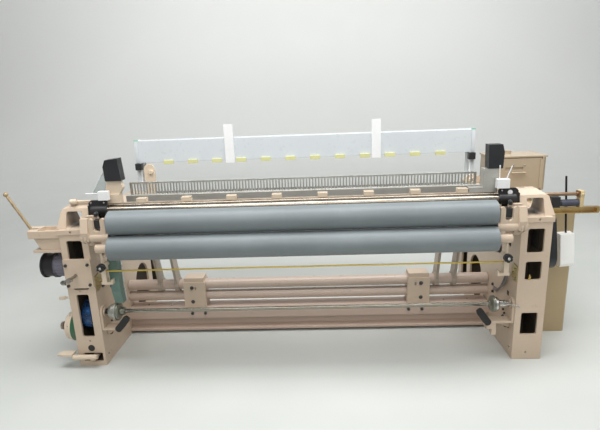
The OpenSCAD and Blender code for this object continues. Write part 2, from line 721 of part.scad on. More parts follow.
// Pulley and ribbed ring on the left end of the take-up worm
module hand_pulley() at_left() color("#222222") {
  bar_x(-360, -120, pulley_y, pulley_z, pulley_shaft_d);
  turned_x(0, pulley_y, pulley_z) polygon([
    [14, -351], [60, -351], [66, -346], [82, -346], [82, -336], [74, -332], [74, -282], [82, -278],
    [82, -262], [14, -262]
  ]);
  difference() {
    bar_x(-263, -200, pulley_y, pulley_z, 150);
    for (a = [0:20:340]) translate([0, pulley_y, pulley_z]) rotate([a, 0, 0])
      bar_x(-252, -212, 0, 78, 12);
  }
}

// Round gear case with its cover and hub
module gear_case() at_left() color("bisque") {
  turned_x(0, 100, 240) polygon([
    [0, -320], [16, -320], [26, -314], [26, -300], [16, -296], [16, -262], [72, -262], [88, -254],
    [88, -226], [98, -226], [98, -frame_w], [0, -frame_w]
  ]);
  bar_z(-226, 100, 320, 386, 14);
}

// Worm wheel inside the left frame, seen through the tall window
module drive_gear() at_left() color("royalblue") {
  bar_x(-frame_w + 4, -4, gear_y, gear_z, gear_shaft_d);
  difference() {
    bar_x(-136, -70, gear_y, gear_z, gear_d);
    for (a = [0:15:345]) translate([0, gear_y, gear_z]) rotate([a, 0, 0])
      bar_x(-122, -84, 0, gear_d / 2 + 4, 13);
    for (a = [0:60:300], x = [[-137, -116], [-90, -69]]) translate([0, gear_y, gear_z]) rotate([a, 0, 0])
      bar_x(x[0], x[1], 0, 0.29 * gear_d, 32);
  }
}

// Foot pedal with its pivot tube inside the left frame
module foot_pedal() at_left() color("bisque") {
  bar_x(-frame_w + 6, -6, pedal_y, pedal_z, pedal_pin_d);
  bar_x(-146, -22, pedal_y, pedal_z, 24);
  block(-92, -60, -26, pedal_y - 8, pedal_z - 9, pedal_z + 9);
  bar_x(-200, -40, -30, 78, 32);
  translate([0, 0, 90]) linear_extrude(12) polygon([[-199, -46], [-212, -46], [-300, -36], [-288, 14], [-199, 14]]);
}

// Right outboard parts
module feeder_arm() at_right() color("goldenrod") difference() {
  union() {
    block(-side_reach + 14, -frame_w, arm_y1, arm_y2, arm_z1, arm_z2);
    bar_x(-side_reach, -side_reach + 15, 150, arm_z1 + 20, 26);
  }
  block(-side_reach + 30, -frame_w - 30, arm_y1 - 1, arm_y2 - 6, arm_z1 + 6, arm_z2 - 6);
}
module feeder_rod() at_right() color("peru") {
  bar_x(rod_x, -frame_w, 150, rod_z, 22);
  block(rod_x + 5, rod_x + 23, 130, 170, rod_z - 17, rod_z + 17);
}
module feeder_cylinder() at_right() color("#1e1e1e") {
  block(-275, -225, 132, 168, arm_z2, rod_z - 16);
  difference() {
    bar_x(rod_x + 10, -274, 150, arm_z2 + 25, 42);
    for (i = [0:8]) turned_x(0, 150, arm_z2 + 25) translate([18, rod_x + 17 + i * 12]) square([6, 5]);
  }
  block(rod_x - 6, rod_x + 10, 126, 174, arm_z2, arm_z2 + 51);
}
module hanging_box() at_right() color("whitesmoke") {
  translate([-side_reach + 190, arm_y2 + 14.5, arm_z1]) rotate([0, 5, 0]) {
    bar_z(0, 0, -138, 226, 12);
    slab_x(-42, 42) polygon([[-22, -138], [38, -138], [38, -335], [24, -356], [-8, -356], [-22, -335]]);
  }
  block(-side_reach + 174, -side_reach + 204, arm_y2, arm_y2 + 26, arm_z1 + 7, arm_z2 - 7);
}
module belt_guard() at_right() color("#191919")
  translate([-frame_w, 110, arm_z1 - 255]) rotate([0, -90, 0]) linear_extrude(62) {
    low_r = 78;
    top_r = 28;
    rise = 220;
    side = (low_r - top_r) / rise;
    across = sqrt(1 - side * side);
    circle(low_r);
    translate([rise, 0]) circle(top_r);
    polygon([[low_r * side, low_r * across], [rise + top_r * side, top_r * across],
      [rise + top_r * side, -top_r * across], [low_r * side, -low_r * across]]);
  }
module guard_form(t, z1, z2) {
  back = frame_d - 50;
  translate([0, 0, z1]) linear_extrude(z2 - z1) {
    round_rect(-frame_w - guard_w + t, -frame_w - 40, guard_y1 + t, back - t, 24 - t);
    translate([-frame_w - 80, guard_y1 + t]) square([t > 0 ? 81 : 80, back - guard_y1 - 2 * t]);
  }
}
module drive_guard() at_right() color("bisque") difference() {
  guard_form(0, 0, guard_h);
  guard_form(guard_t, -1, guard_h - guard_t);
}

// Control cabinet on the right frame, with the knuckles of its door
module control_cabinet() at_right() color("bisque") {
  difference() {
    union() {
      block(-cab_x2, -cab_x1, cab_y1, cab_y2, frame_h, cab_z2);
      block(-cab_x2 - 8, -cab_x1 + 8, cab_y1 - 14, cab_y2 + 8, cab_z2, cab_z2 + 10);
      block(-cab_x2 + 60, -frame_w - 20, cab_y1 + 40, cab_y2 - 40, guard_h, frame_h);
      bar_z(-230, cab_y1 + 150, cab_z2 + 9, cab_z2 + 32, 46);
    }
    block(-door_x2 + 12, -cab_x1 - 20, cab_y1 - 1, cab_y2 - 8, frame_h + 20, cab_z2 - 20);
  }
  for (z = [[frame_h, knuckle_z1 - slide_gap], [knuckle_z2 + slide_gap, cab_z2]])
    block(-hinge_x - 7, -hinge_x + 7, hinge_y - 7, cab_y1 + 1, z[0], z[1]);
  bar_z(-hinge_x, hinge_y, frame_h + 1, cab_z2 - 1, hinge_pin);
}
module cabinet_door() at_right() color("bisque") difference() {
  union() {
    block(-door_x2, -cab_x1 - 4, cab_y1 - door_t, cab_y1 - slide_gap, frame_h + 6, cab_z2 - 6);
    bar_z(-hinge_x, hinge_y, knuckle_z1, knuckle_z2, hinge_d);
    block(-hinge_x, -door_x2 + 1, hinge_y - 5, hinge_y, knuckle_z1, knuckle_z2);
    block(-door_x2, -door_x2 + 8, hinge_y - 5, hinge_y + 1, knuckle_z1, knuckle_z2);
    bar_x(-300, -200, cab_y1 - door_t - 14, frame_h + 132, 10);
    for (x = [-290, -210]) bar_y(x, cab_y1 - door_t - 14, cab_y1 - door_t + 1, frame_h + 132, 8);
  }
  bar_z(-hinge_x, hinge_y, knuckle_z1 - 1, knuckle_z2 + 1, hinge_pin + 2 * fit);
  block(-282, -156, cab_y1 - door_t - 1, cab_y1 - door_t + 6, frame_h + 150, frame_h + 170);
}

// Visible hex heads
module frame_bolts() color("darkgray") {
  at_left() for (p = [[-160, 700], [-22, 702], [-160, 566], [-22, 570]]) hex_head_y(p[0], -10, p[1], 20);
  for (side = [0, 1]) mirror([side, 0, 0]) at_right() {
    for (y = [70, 86]) hex_head_x(fork_x1, y, 866, 18);
    for (p = [[116, 262], [138, 278]]) hex_head_x(bearing_t, p[0], p[1], 14);
  }
  on_centre() for (s = [-1, 1], x = [733, 828]) hex_head_y(s * x, cross_y, cross_top - 34, 24);
}

module back_rest() on_centre() color("gray") {
  bar_x(-half_gap + 12, half_gap - 12, back_rest_y, back_rest_z, back_rest_d);
  bar_x(-half_gap - 55, half_gap + 55, back_rest_y, back_rest_z, back_rest_journal);
}

// Rubber covered cloth rollers
module take_up_roller() on_centre() color("#74808c") {
  bar_x(-roller_len / 2, roller_len / 2, take_up_y, take_up_z, roller_d);
  bar_x(-half_gap + boss_x1 + 2, half_gap - boss_x1 - 2, take_up_y, take_up_z, take_up_journal);
}
module press_roller() on_centre() color("#74808c") {
  bar_x(-roller_len / 2, roller_len / 2, press_y, press_z, roller_d);
  bar_x(-half_gap + slide_x - 14, half_gap - slide_x + 14, press_y, press_z, press_journal);
}

// Rocking shaft with the sley on it
module rocking_shaft() on_centre() color("bisque") {
  bar_x(-half_gap + 4, half_gap - 4, rocking_y, rocking_z, rocking_d);
  bar_x(-half_gap - 55, half_gap + 55, rocking_y, rocking_z, rocking_journal);
}
module sley_swords() on_centre() color("bisque") for (s = [-1, 1]) difference() {
  union() {
    for (x = [sword_x, sword_x + sword_w]) {
      bar_x(s * x - 16, s * x + 16, rocking_y, rocking_z, sword_hub_d);
      slab_x(s * x - 9, s * x + 9) polygon([
        [rocking_y - 48, rocking_z + 10], [rocking_y + 48, rocking_z + 20], [reed_y + 34, reed_z - 70],
        [reed_y - 30, reed_z - 70]
      ]);
    }
    block(min(s * (sword_x - 16), s * (sword_x + sword_w + 16)), max(s * (sword_x - 16), s * (sword_x + sword_w + 16)),
      reed_y - 30, reed_y + 34, reed_z - 72, reed_z - 60);
  }
  bar_x(-half_gap, half_gap, rocking_y, rocking_z, rocking_d + 2 * fit);
}
module reed_holder() on_centre() color("gray") difference() {
  block(-reed_len / 2 - 25, reed_len / 2 + 25, reed_y - 26, reed_y + 26, reed_z - 60, reed_z);
  block(-reed_len / 2, reed_len / 2, reed_y - 5, reed_y + 5, reed_z - 24, reed_z + 1);
  block(-reed_len / 2 - 26, reed_len / 2 + 26, reed_y + 10, reed_y + 27, reed_z - 50, reed_z - 30);
}

// Reed: two rails joined by flat teeth
module reed() on_centre() color("silver") difference() {
  pitch = (reed_len - 24) / reed_gaps;
  block(-reed_len / 2, reed_len / 2, reed_y - 5, reed_y + 5, reed_z - 24, reed_z - 24 + reed_h + 24);
  for (i = [0:reed_gaps - 1])
    translate([-reed_len / 2 + 12 + (i + 0.2) * pitch, reed_y - 6, reed_z + 4])
      cube([pitch * 0.6, 12, reed_h - 16]);
}

left_side_frame();
right_side_frame();
cross_beam();
rear_beam();
stay_tube();
bearing_blocks();
roller_bracket_left();
roller_bracket_right();
guide_hangers();
guide_rod();
cloth_brackets();
wall_plates();
chain_guard();
breast_brackets();
breast_pipe();
temple_bar();
temple_clamps();
guide_blocks();
feeler_column_left();
feeler_column_right();
sensor_boxes();
splash_guard();
tower_fitting();
cover_plate();
crank_stub();
beam_posts();
top_beam();
beam_straps();
beam_clips();
outboard_bracket();
gear_case();
drive_guard();
control_cabinet();
feeder_arm();
feeder_rod();
feeder_cylinder();
hanging_box();
belt_guard();
frame_bolts();
back_rest();
drive_gear();
take_up_roller();
press_roller();
bearing_slides();
cloth_shaft();
chuck_left();
chuck_right();
chuck_discs();
rocking_shaft();
sley_swords();
reed_holder();
reed();
start_handle();
hand_pulley();
foot_pedal();
lock_lever_left();
lock_lever_right();
pressure_knob_left();
pressure_knob_right();
cabinet_door();
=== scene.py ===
"""Looks of the power loom: materials, small fittings, floor, light and camera."""

import math

import bmesh
import bpy
from mathutils import Matrix, Vector


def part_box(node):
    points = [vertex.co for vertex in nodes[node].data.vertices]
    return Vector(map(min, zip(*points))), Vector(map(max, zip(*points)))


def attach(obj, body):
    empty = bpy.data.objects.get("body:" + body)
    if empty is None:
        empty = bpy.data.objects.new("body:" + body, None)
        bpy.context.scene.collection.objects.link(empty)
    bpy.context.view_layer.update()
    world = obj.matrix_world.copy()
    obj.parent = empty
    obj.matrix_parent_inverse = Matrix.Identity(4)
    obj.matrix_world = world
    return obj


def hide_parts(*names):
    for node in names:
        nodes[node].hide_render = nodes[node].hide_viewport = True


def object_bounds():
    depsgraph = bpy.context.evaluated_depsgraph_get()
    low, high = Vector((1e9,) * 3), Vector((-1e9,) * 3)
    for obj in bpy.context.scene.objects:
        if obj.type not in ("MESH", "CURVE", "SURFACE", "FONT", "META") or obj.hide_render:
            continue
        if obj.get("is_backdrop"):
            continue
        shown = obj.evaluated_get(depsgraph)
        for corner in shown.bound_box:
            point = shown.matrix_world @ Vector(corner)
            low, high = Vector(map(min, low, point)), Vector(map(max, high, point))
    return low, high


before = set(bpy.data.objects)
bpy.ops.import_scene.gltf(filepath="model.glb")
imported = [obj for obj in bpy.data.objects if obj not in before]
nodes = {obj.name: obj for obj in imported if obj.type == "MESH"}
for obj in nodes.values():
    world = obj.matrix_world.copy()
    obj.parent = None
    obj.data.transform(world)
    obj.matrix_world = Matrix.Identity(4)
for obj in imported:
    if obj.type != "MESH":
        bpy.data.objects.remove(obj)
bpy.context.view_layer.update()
scene = bpy.context.scene

# Inner faces of the side frames at plus and minus this, and the frame fronts, in metres
HALF_GAP = 1.302
Y0 = -0.513
# Room inside a side frame and in its tower tunnel, outboard, back and up, a little into the walls, in metres; painted
# shade darkens the frame there
FRAME_ROOM = ((0.0155, 0.1625), (0.0155, 1.1645), (0.0245, 0.9095))
TOWER_ROOM = ((0.0395, 0.1385), (0.0, 0.215), (0.9245, 1.0285))
# Beyond this the take-up and press rollers are bare journal, in metres
SLEEVE_END = 1.1285
# Faces that carry fittings, in the mm of left(), right() and centre(): three inward, four backward and three up
OUTER_FACE = -178
POST_INNER_FACE = 10
FLANGE_FACE = 16
BREAST_FACE = 48
BLOCK_FACE = 440
BLOCK_BORE_FLOOR = 448
POST_FACE = 920
CROSS_TOP = 190
TUBE_RING_TOP = 933
FRAME_TOP = 935


def left(u, y, z):
    """Point at the left end: u inward from the inner face of the frame, y behind the frame fronts, all in mm."""
    return Vector((-HALF_GAP + u / 1000, Y0 + y / 1000, z / 1000))


def right(u, y, z):
    """The same point at the right end."""
    return Vector((HALF_GAP - u / 1000, Y0 + y / 1000, z / 1000))


def centre(x, y, z):
    """Point with x from the middle of the loom, y behind the frame fronts, all in mm."""
    return Vector((x / 1000, Y0 + y / 1000, z / 1000))


# Material helpers
class Nodes:
    """A new material with one Principled shader, and short calls for the nodes that feed it."""

    def __init__(self, name):
        self.mat = bpy.data.materials.new(name)
        self.mat.use_nodes = True
        self.tree = self.mat.node_tree
        self.tree.nodes.clear()
        out = self.new("ShaderNodeOutputMaterial")
        self.shader = self.new("ShaderNodeBsdfPrincipled")
        self.link(self.shader.outputs[0], out.inputs[0])
        self.coord = self.new("ShaderNodeTexCoord").outputs["Object"]

    def link(self, a, b):
        self.tree.links.new(a, b)

    def new(self, kind, **values):
        node = self.tree.nodes.new(kind)
        for key, value in values.items():
            setattr(node, key, value)
        return node

    def mapped(self, key, value):
        """Object coordinates with one setting of a mapping: its Scale or its Rotation."""
        node = self.new("ShaderNodeMapping")
        node.inputs[key].default_value = value
        self.link(self.coord, node.inputs["Vector"])
        return node.outputs[0]

    def noise(self, scale, detail=4.0, rough=0.55, vector=None):
        node = self.new("ShaderNodeTexNoise")
        node.inputs["Scale"].default_value = scale
        node.inputs["Detail"].default_value = detail
        node.inputs["Roughness"].default_value = rough
        self.link(vector or self.coord, node.inputs["Vector"])
        return node.outputs["Fac"]

    def lines(self, stretch, detail, rough):
        """Noise drawn out by a scale along each axis."""
        return self.noise(1.0, detail, rough, self.mapped("Scale", stretch))

    def bands(self, scale, direction, vector):
        node = self.new("ShaderNodeTexWave", wave_type="BANDS", bands_direction=direction)
        node.inputs["Scale"].default_value = scale
        self.link(vector, node.inputs["Vector"])
        return node.outputs["Fac"]

    def ramp(self, fac, stops):
        node = self.new("ShaderNodeValToRGB")
        while len(node.color_ramp.elements) < len(stops):
            node.color_ramp.elements.new(0.5)
        for element, (place, value) in zip(node.color_ramp.elements, stops):
            element.position = place
            if isinstance(value, (int, float)):
                value = (value, value, value)
            element.color = (*value, 1)
        self.link(fac, node.inputs[0])
        return node.outputs[0]

    def math(self, operation, a, b=0.0):
        node = self.new("ShaderNodeMath", operation=operation)
        for i, value in enumerate((a, b)):
            if isinstance(value, (int, float)):
                node.inputs[i].default_value = value
            else:
                self.link(value, node.inputs[i])
        return node.outputs[0]

    def times(self, a, b):
        return self.math("MULTIPLY", a, b)

    def mix(self, fac, a, b):
        node = self.new("ShaderNodeMix", data_type="RGBA")
        if isinstance(fac, (int, float)):
            node.inputs[0].default_value = fac
        else:
            self.link(fac, node.inputs[0])
        for socket, value in ((node.inputs[6], a), (node.inputs[7], b)):
            if isinstance(value, (int, float)):
                socket.default_value = (value, value, value, 1)
            elif isinstance(value, tuple):
                socket.default_value = (*value, 1)
            else:
                self.link(value, socket)
        return node.outputs[2]

    def axis(self, which):
        node = self.new("ShaderNodeSeparateXYZ")
        self.link(self.coord, node.inputs[0])
        return node.outputs["XYZ".index(which)]

    def between(self, place, low, high):
        return self.times(self.math("GREATER_THAN", place, low), self.math("LESS_THAN", place, high))

    def band(self, which, low, high):
        """One inside low to high along an axis of the object, zero outside."""
        return self.between(self.axis(which), low, high)

    def room(self, limits):
        """One inside a room of either side frame, zero outside."""
        (x0, x1), (y0, y1), (z0, z1) = limits
        across = self.between(self.math("ABSOLUTE", self.axis("X")), HALF_GAP + x0, HALF_GAP + x1)
        return self.times(across, self.times(self.band("Y", Y0 + y0, Y0 + y1), self.band("Z", z0, z1)))

    def frame_inside_shade(self):
        """Painted shade inside a side frame's box, and in the tower tunnel growing darker with depth."""
        depth = self.ramp(self.math("SUBTRACT", self.axis("Y"), Y0), [(0.045, 0.15), (0.13, 0.86)])
        return self.math("MAXIMUM", self.times(self.room(FRAME_ROOM), 0.86), self.times(self.room(TOWER_ROOM), depth))

    def bump(self, height, strength, distance, rounding=0.0):
        """Normal from a height, over edges that look rounded by a radius in metres."""
        node = self.new("ShaderNodeBump")
        node.inputs["Strength"].default_value = strength
        node.inputs["Distance"].default_value = distance
        self.link(height, node.inputs["Height"])
        if rounding:
            edge = self.new("ShaderNodeBevel", samples=4)
            edge.inputs["Radius"].default_value = rounding
            self.link(edge.outputs[0], node.inputs["Normal"])
        return node.outputs[0]

    def set(self, **values):
        """Sets or links inputs of the shader; a colour is a tuple of three."""
        for key, value in values.items():
            socket = self.shader.inputs[key.replace("_", " ")]
            if isinstance(value, tuple):
                socket.default_value = (*value, 1)
            elif isinstance(value, (int, float)):
                socket.default_value = value
            else:
                self.link(value, socket)


def shade(colour, factor):
    return tuple(min(1.0, c * factor) for c in colour)


def drifting(n, noise, low, high, colour, spread):
    """Slow drift between a darker and a lighter tone of a colour."""
    return n.ramp(noise, [(low, shade(colour, 1 - spread)), (high, shade(colour, 1 + spread))])


# Materials
def enamel(name, colour, rough=0.38, spread=0.06, pits=0.12, rounding=0.003, dust=0.10,
           stain=(0.16, 0.11, 0.07), inside_shaded=False):
    """Sprayed enamel over a casting or sheet: slow tone drift, fine orange peel, dust low down, faint stains, and,
    for the side frames, painted shade inside their boxes.
    """
    n = Nodes(name)
    drift = drifting(n, n.noise(2.2, 3), 0.25, 0.75, colour, spread)
    mottled = n.mix(n.ramp(n.noise(38, 3), [(0.45, 0.0), (0.8, 0.16)]), drift, shade(colour, 0.86))
    dusty = n.mix(n.ramp(n.axis("Z"), [(0.0, dust), (0.35, 0.0)]), mottled, shade(stain, 2.1))
    spots = n.ramp(n.times(n.noise(6.5, 6, 0.7), n.noise(17, 4)), [(0.36, 0.0), (0.52, 0.30)])
    final = n.mix(spots, dusty, stain)
    # Painted shade: the inside of the frame's box and tower tunnel is darkened towards near black
    if inside_shaded:
        final = n.mix(n.frame_inside_shade(), final, (0.040, 0.033, 0.024))
    peel = n.mix(0.5, n.noise(260, 2), n.noise(46, 3))
    n.set(Base_Color=final, Roughness=n.ramp(n.noise(24, 4), [(0.3, rough - 0.05), (0.7, rough + 0.08)]),
          Normal=n.bump(peel, pits, 0.002, rounding), Coat_Weight=0.12, Coat_Roughness=0.2)
    return n.mat


# Scale of the fine lines of a metal: even, along X, round X, or along Z
LINE_SCALES = {None: (60, 60, 60), "X": (4, 260, 260), "R": (420, 6, 6), "Z": (260, 260, 4)}


def metal(name, colour, rough=0.25, brushed=None, tarnish=(0.30, 0.24, 0.17), amount=0.25, metallic=1.0):
    """Turned, ground or plated metal: fine lines and a little tarnish."""
    n = Nodes(name)
    lines = n.lines(LINE_SCALES[brushed], 4, 0.6)
    worn = n.ramp(n.noise(9, 5, 0.65), [(0.42, 0.0), (0.72, amount)])
    lined = n.mix(n.ramp(lines, [(0.35, 0.0), (0.75, 0.35)]), colour, shade(colour, 0.72))
    n.set(Base_Color=n.mix(worn, lined, tarnish), Metallic=metallic,
          Roughness=n.ramp(lines, [(0.3, max(0.04, rough - 0.07)), (0.75, rough + 0.10)]),
          Normal=n.bump(lines, 0.08, 0.0006, 0.0015))
    return n.mat


def plastic(name, colour, rough=0.45, grain=0.15, spread=0.05):
    """Moulded plastic with a fine grain and smudges."""
    n = Nodes(name)
    smudge = n.ramp(n.noise(21, 5, 0.7), [(0.5, 0.0), (0.8, 0.25)])
    n.set(Base_Color=n.mix(smudge, drifting(n, n.noise(7, 3), 0.3, 0.7, colour, spread), shade(colour, 0.82)),
          Roughness=n.ramp(n.noise(30, 3), [(0.3, rough - 0.07), (0.7, rough + 0.09)]),
          Normal=n.bump(n.noise(520, 2), grain, 0.0008, 0.0015))
    return n.mat


def roller_rubber():
    """Ground rubber sleeve: very fine turning lines round the roller, chalky tone drift, a dusty bloom."""
    n = Nodes("roller_sleeve")
    base = (0.180, 0.205, 0.215)
    turning = n.lines((520, 5, 5), 3, 0.5)
    cloud = n.ramp(n.lines((2.2, 7, 7), 4, 0.6), [(0.3, shade(base, 0.90)), (0.72, shade(base, 1.12))])
    streak = n.ramp(n.lines((14, 2.5, 2.5), 5, 0.7), [(0.5, 0.0), (0.85, 0.30)])
    journal = n.math("GREATER_THAN", n.math("ABSOLUTE", n.axis("X")), SLEEVE_END)
    n.set(Base_Color=n.mix(journal, n.mix(streak, cloud, shade(base, 1.25)), (0.36, 0.35, 0.33)),
          Metallic=journal, Roughness=n.ramp(turning, [(0.3, 0.40), (0.8, 0.52)]),
          Normal=n.bump(turning, 0.10, 0.0005),
          Specular_IOR_Level=0.42, Sheen_Weight=0.06, Sheen_Roughness=0.4)
    return n.mat


def mesh_green():
    """Woven green mesh on the chain guard."""
    n = Nodes("guard_mesh")
    diagonal = n.mapped("Rotation", (0.785, 0.0, 0.6))
    warp, weft = (n.ramp(n.bands(95, which, diagonal), [(0.25, 1.0), (0.6, 0.25)]) for which in "XZ")
    cells = n.times(warp, weft)
    tone = n.ramp(n.noise(9, 4), [(0.3, (0.040, 0.105, 0.085)), (0.75, (0.090, 0.185, 0.150))])
    n.set(Base_Color=n.mix(n.ramp(cells, [(0.1, 0.0), (0.7, 0.8)]), tone, (0.27, 0.36, 0.32)),
          Roughness=n.ramp(cells, [(0.2, 0.32), (0.8, 0.5)]), Normal=n.bump(cells, 0.4, 0.0012))
    return n.mat


def clear_sheet():
    """Hazy clear plastic of the splash sheet."""
    n = Nodes("clear_sheet")
    haze = n.ramp(n.noise(6, 4), [(0.35, 0.42), (0.75, 0.56)])
    n.set(Base_Color=n.mix(haze, (0.38, 0.46, 0.45), (0.56, 0.62, 0.61)), Alpha=haze,
          Roughness=n.ramp(n.noise(14, 3), [(0.3, 0.05), (0.8, 0.12)]),
          Normal=n.bump(n.noise(3.5, 2), 0.10, 0.004))
    n.mat.blend_method = "BLEND"
    return n.mat


def two_tone(name, first, second, which, low, high, worn=1.5):
    """One finish outside a band along an axis and another inside it, each given as colour, metallic, roughness."""
    n = Nodes(name)
    (c1, m1, r1), (c2, m2, r2) = first, second
    inside = n.band(which, low, high)
    blotch = n.ramp(n.noise(26, 4), [(0.4, 0.0), (0.8, 0.35)])
    n.set(Base_Color=n.mix(blotch, n.mix(inside, c1, c2), n.mix(inside, shade(c1, worn), shade(c2, worn))),
          Metallic=n.ramp(inside, [(0.0, m1), (1.0, m2)]),
          Roughness=n.mix(n.noise(40, 3), n.ramp(inside, [(0.0, r1), (1.0, r2)]), 0.5),
          Normal=n.bump(n.noise(300, 2), 0.1, 0.0006, 0.002))
    return n.mat


def gear_case_finish():
    """Cream cover whose back rim is painted green, with a bare boss."""
    n = Nodes("gear_case_enamel")
    green = n.band("X", -HALF_GAP - 0.213, -HALF_GAP + OUTER_FACE / 1000)
    boss = n.math("LESS_THAN", n.axis("X"), -HALF_GAP - 0.2625)
    drift = n.ramp(n.noise(2.6, 3), [(0.25, (0.62, 0.51, 0.39)), (0.75, (0.69, 0.58, 0.45))])
    stain = n.ramp(n.noise(14, 5, 0.7), [(0.5, 0.0), (0.8, 0.3)])
    painted = n.mix(stain, n.mix(green, drift, (0.026, 0.110, 0.052)), (0.20, 0.15, 0.10))
    n.set(Base_Color=n.mix(boss, painted, (0.36, 0.30, 0.24)), Metallic=n.times(boss, 0.8),
          Roughness=n.ramp(n.noise(24, 4), [(0.3, 0.28), (0.7, 0.42)]),
          Normal=n.bump(n.noise(180, 2), 0.06, 0.001, 0.002), Coat_Weight=0.12, Coat_Roughness=0.2)
    return n.mat


def handle_finish():
    """Lacquered handle rod: long grain lines, dark at its foot."""
    n = Nodes("handle_rod")
    grain = n.lines((90, 90, 7), 5, 0.65)
    tone = n.ramp(grain, [(0.30, (0.20, 0.135, 0.07)), (0.5, (0.33, 0.24, 0.13)), (0.75, (0.43, 0.34, 0.20))])
    n.set(Base_Color=n.mix(n.band("Z", 0.0, 0.835), tone, (0.10, 0.09, 0.08)),
          Roughness=n.ramp(grain, [(0.3, 0.30), (0.8, 0.46)]), Normal=n.bump(grain, 0.12, 0.0006),
          Coat_Weight=0.25, Coat_Roughness=0.15)
    return n.mat


def wheel_blue():
    """Oily blue worm wheel with painted glints of light."""
    n = Nodes("wheel_blue")
    oil = n.ramp(n.noise(24, 5, 0.7), [(0.36, 0.0), (0.60, 0.88)])
    tone = n.ramp(n.noise(11, 3), [(0.3, (0.008, 0.050, 0.17)), (0.7, (0.02, 0.11, 0.31))])
    # Painted highlight: small light-blue glints in the base colour
    painted_glint = n.ramp(n.noise(60, 4, 0.7), [(0.60, 0.0), (0.72, 0.7)])
    n.set(Base_Color=n.mix(painted_glint, n.mix(oil, tone, (0.006, 0.012, 0.026)), (0.10, 0.22, 0.40)),
          Roughness=n.ramp(n.noise(35, 3), [(0.3, 0.16), (0.8, 0.36)]),
          Normal=n.bump(n.noise(120, 3), 0.2, 0.001, 0.002))
    return n.mat


CAST_BEIGE = (0.570, 0.455, 0.345)
SHEET_PAINT = dict(rough=0.33, pits=0.05, spread=0.04, rounding=0.002)
WHITE_PAINT = dict(rough=0.30, pits=0.03, dust=0.0)
BLACK_PAINT = dict(spread=0.2, dust=0.0, stain=(0.05, 0.045, 0.04))

beige = enamel("cast_enamel", CAST_BEIGE)
# Side frames, with painted shade inside their boxes and tower tunnels
frame_beige = enamel("frame_enamel", CAST_BEIGE, inside_shaded=True)
cabinet_beige = enamel("cabinet_enamel", (0.405, 0.325, 0.228), **SHEET_PAINT)
guard_beige = enamel("guard_enamel", (0.412, 0.318, 0.180), **SHEET_PAINT)
beam_beige = enamel("beam_enamel", (0.520, 0.400, 0.330), rough=0.34, pits=0.06)
shaft_beige = enamel("shaft_enamel", (0.520, 0.415, 0.345), rough=0.30, pits=0.05, spread=0.05)
sword_cast = enamel("sword_enamel", (0.400, 0.335, 0.270), rough=0.42)
cream = enamel("cream_enamel", (0.66, 0.55, 0.42), rough=0.32, pits=0.05)
feeder_gold = enamel("feeder_gold", (0.60, 0.47, 0.26), rough=0.34, pits=0.08)
post_white = enamel("post_white", (0.93, 0.96, 0.97), spread=0.02, stain=(0.6, 0.62, 0.63), **WHITE_PAINT)
beam_white = enamel("beam_white", (0.59, 0.63, 0.655), spread=0.03, stain=(0.60, 0.62, 0.63), **WHITE_PAINT)
black = enamel("black_enamel", (0.016, 0.017, 0.019), rough=0.34, pits=0.10, **BLACK_PAINT)
bracket_black = enamel("bracket_black", (0.012, 0.012, 0.013), rough=0.50, pits=0.12, **BLACK_PAINT)
# Near-black finish for sheets and patches that are painted shade in openings and recesses
painted_shade_dark = enamel("painted_shade_dark", (0.05, 0.045, 0.04), rough=0.6, pits=0.2, spread=0.2, dust=0.0,
                     stain=(0.02, 0.02, 0.02))

strap_white = plastic("strap_white", (0.80, 0.81, 0.805), rough=0.42, grain=0.06, spread=0.02)
white_plastic = plastic("block_white", (0.80, 0.81, 0.81), rough=0.40, grain=0.08, spread=0.03)
black_plastic = plastic("box_black", (0.015, 0.016, 0.018), rough=0.44, grain=0.25, spread=0.2)
knob_black = plastic("knob_black", (0.012, 0.012, 0.013), rough=0.30, grain=0.08, spread=0.2)
lever_black = plastic("lever_black", (0.009, 0.009, 0.009), rough=0.52, grain=0.12, spread=0.25)
clip_yellow = plastic("clip_yellow", (0.62, 0.61, 0.30), rough=0.38, grain=0.05)
hook_brown = plastic("hook_brown", (0.12, 0.055, 0.03), rough=0.4, grain=0.06)
cap_green = plastic("cap_green", (0.22, 0.50, 0.36), rough=0.4, grain=0.05)
lip_haze = plastic("lip_haze", (0.66, 0.72, 0.71), rough=0.2, grain=0.03)

chrome = metal("polished_pipe", (0.35, 0.315, 0.265), rough=0.22, brushed="R", tarnish=(0.24, 0.19, 0.14),
               amount=0.5)
shaft_steel = metal("shaft_steel", (0.36, 0.345, 0.295), rough=0.22, brushed="R", tarnish=(0.26, 0.22, 0.15),
                    amount=0.5)
steel = metal("ground_steel", (0.40, 0.385, 0.36), rough=0.32, brushed="R", tarnish=(0.16, 0.12, 0.08), amount=0.35)
copper = metal("brown_rod", (0.40, 0.27, 0.17), rough=0.34, brushed="R", tarnish=(0.20, 0.12, 0.08), amount=0.4)
tarnished_bar = metal("tarnished_bar", (0.60, 0.50, 0.40), rough=0.28, brushed="X", tarnish=(0.20, 0.14, 0.09),
                      amount=0.6, metallic=0.75)
holder_metal = metal("holder_metal", (0.58, 0.57, 0.53), rough=0.34, brushed="X", tarnish=(0.34, 0.30, 0.24),
                     amount=0.2, metallic=0.6)
reed_metal = metal("reed_metal", (0.74, 0.75, 0.72), rough=0.36, brushed="Z", tarnish=(0.22, 0.2, 0.17), amount=0.2)
zinc = metal("plated_bright", (0.62, 0.61, 0.58), rough=0.26, tarnish=(0.33, 0.30, 0.24))
guide_yellow = metal("guide_yellow", (0.74, 0.56, 0.12), rough=0.36, tarnish=(0.36, 0.26, 0.10), metallic=0.7)
yellow_zinc = metal("yellow_zinc", (0.68, 0.49, 0.22), rough=0.34, tarnish=(0.36, 0.20, 0.12), amount=0.5)
plate_zinc = metal("plate_zinc", (0.50, 0.43, 0.24), rough=0.36, tarnish=(0.36, 0.22, 0.16), amount=0.5)
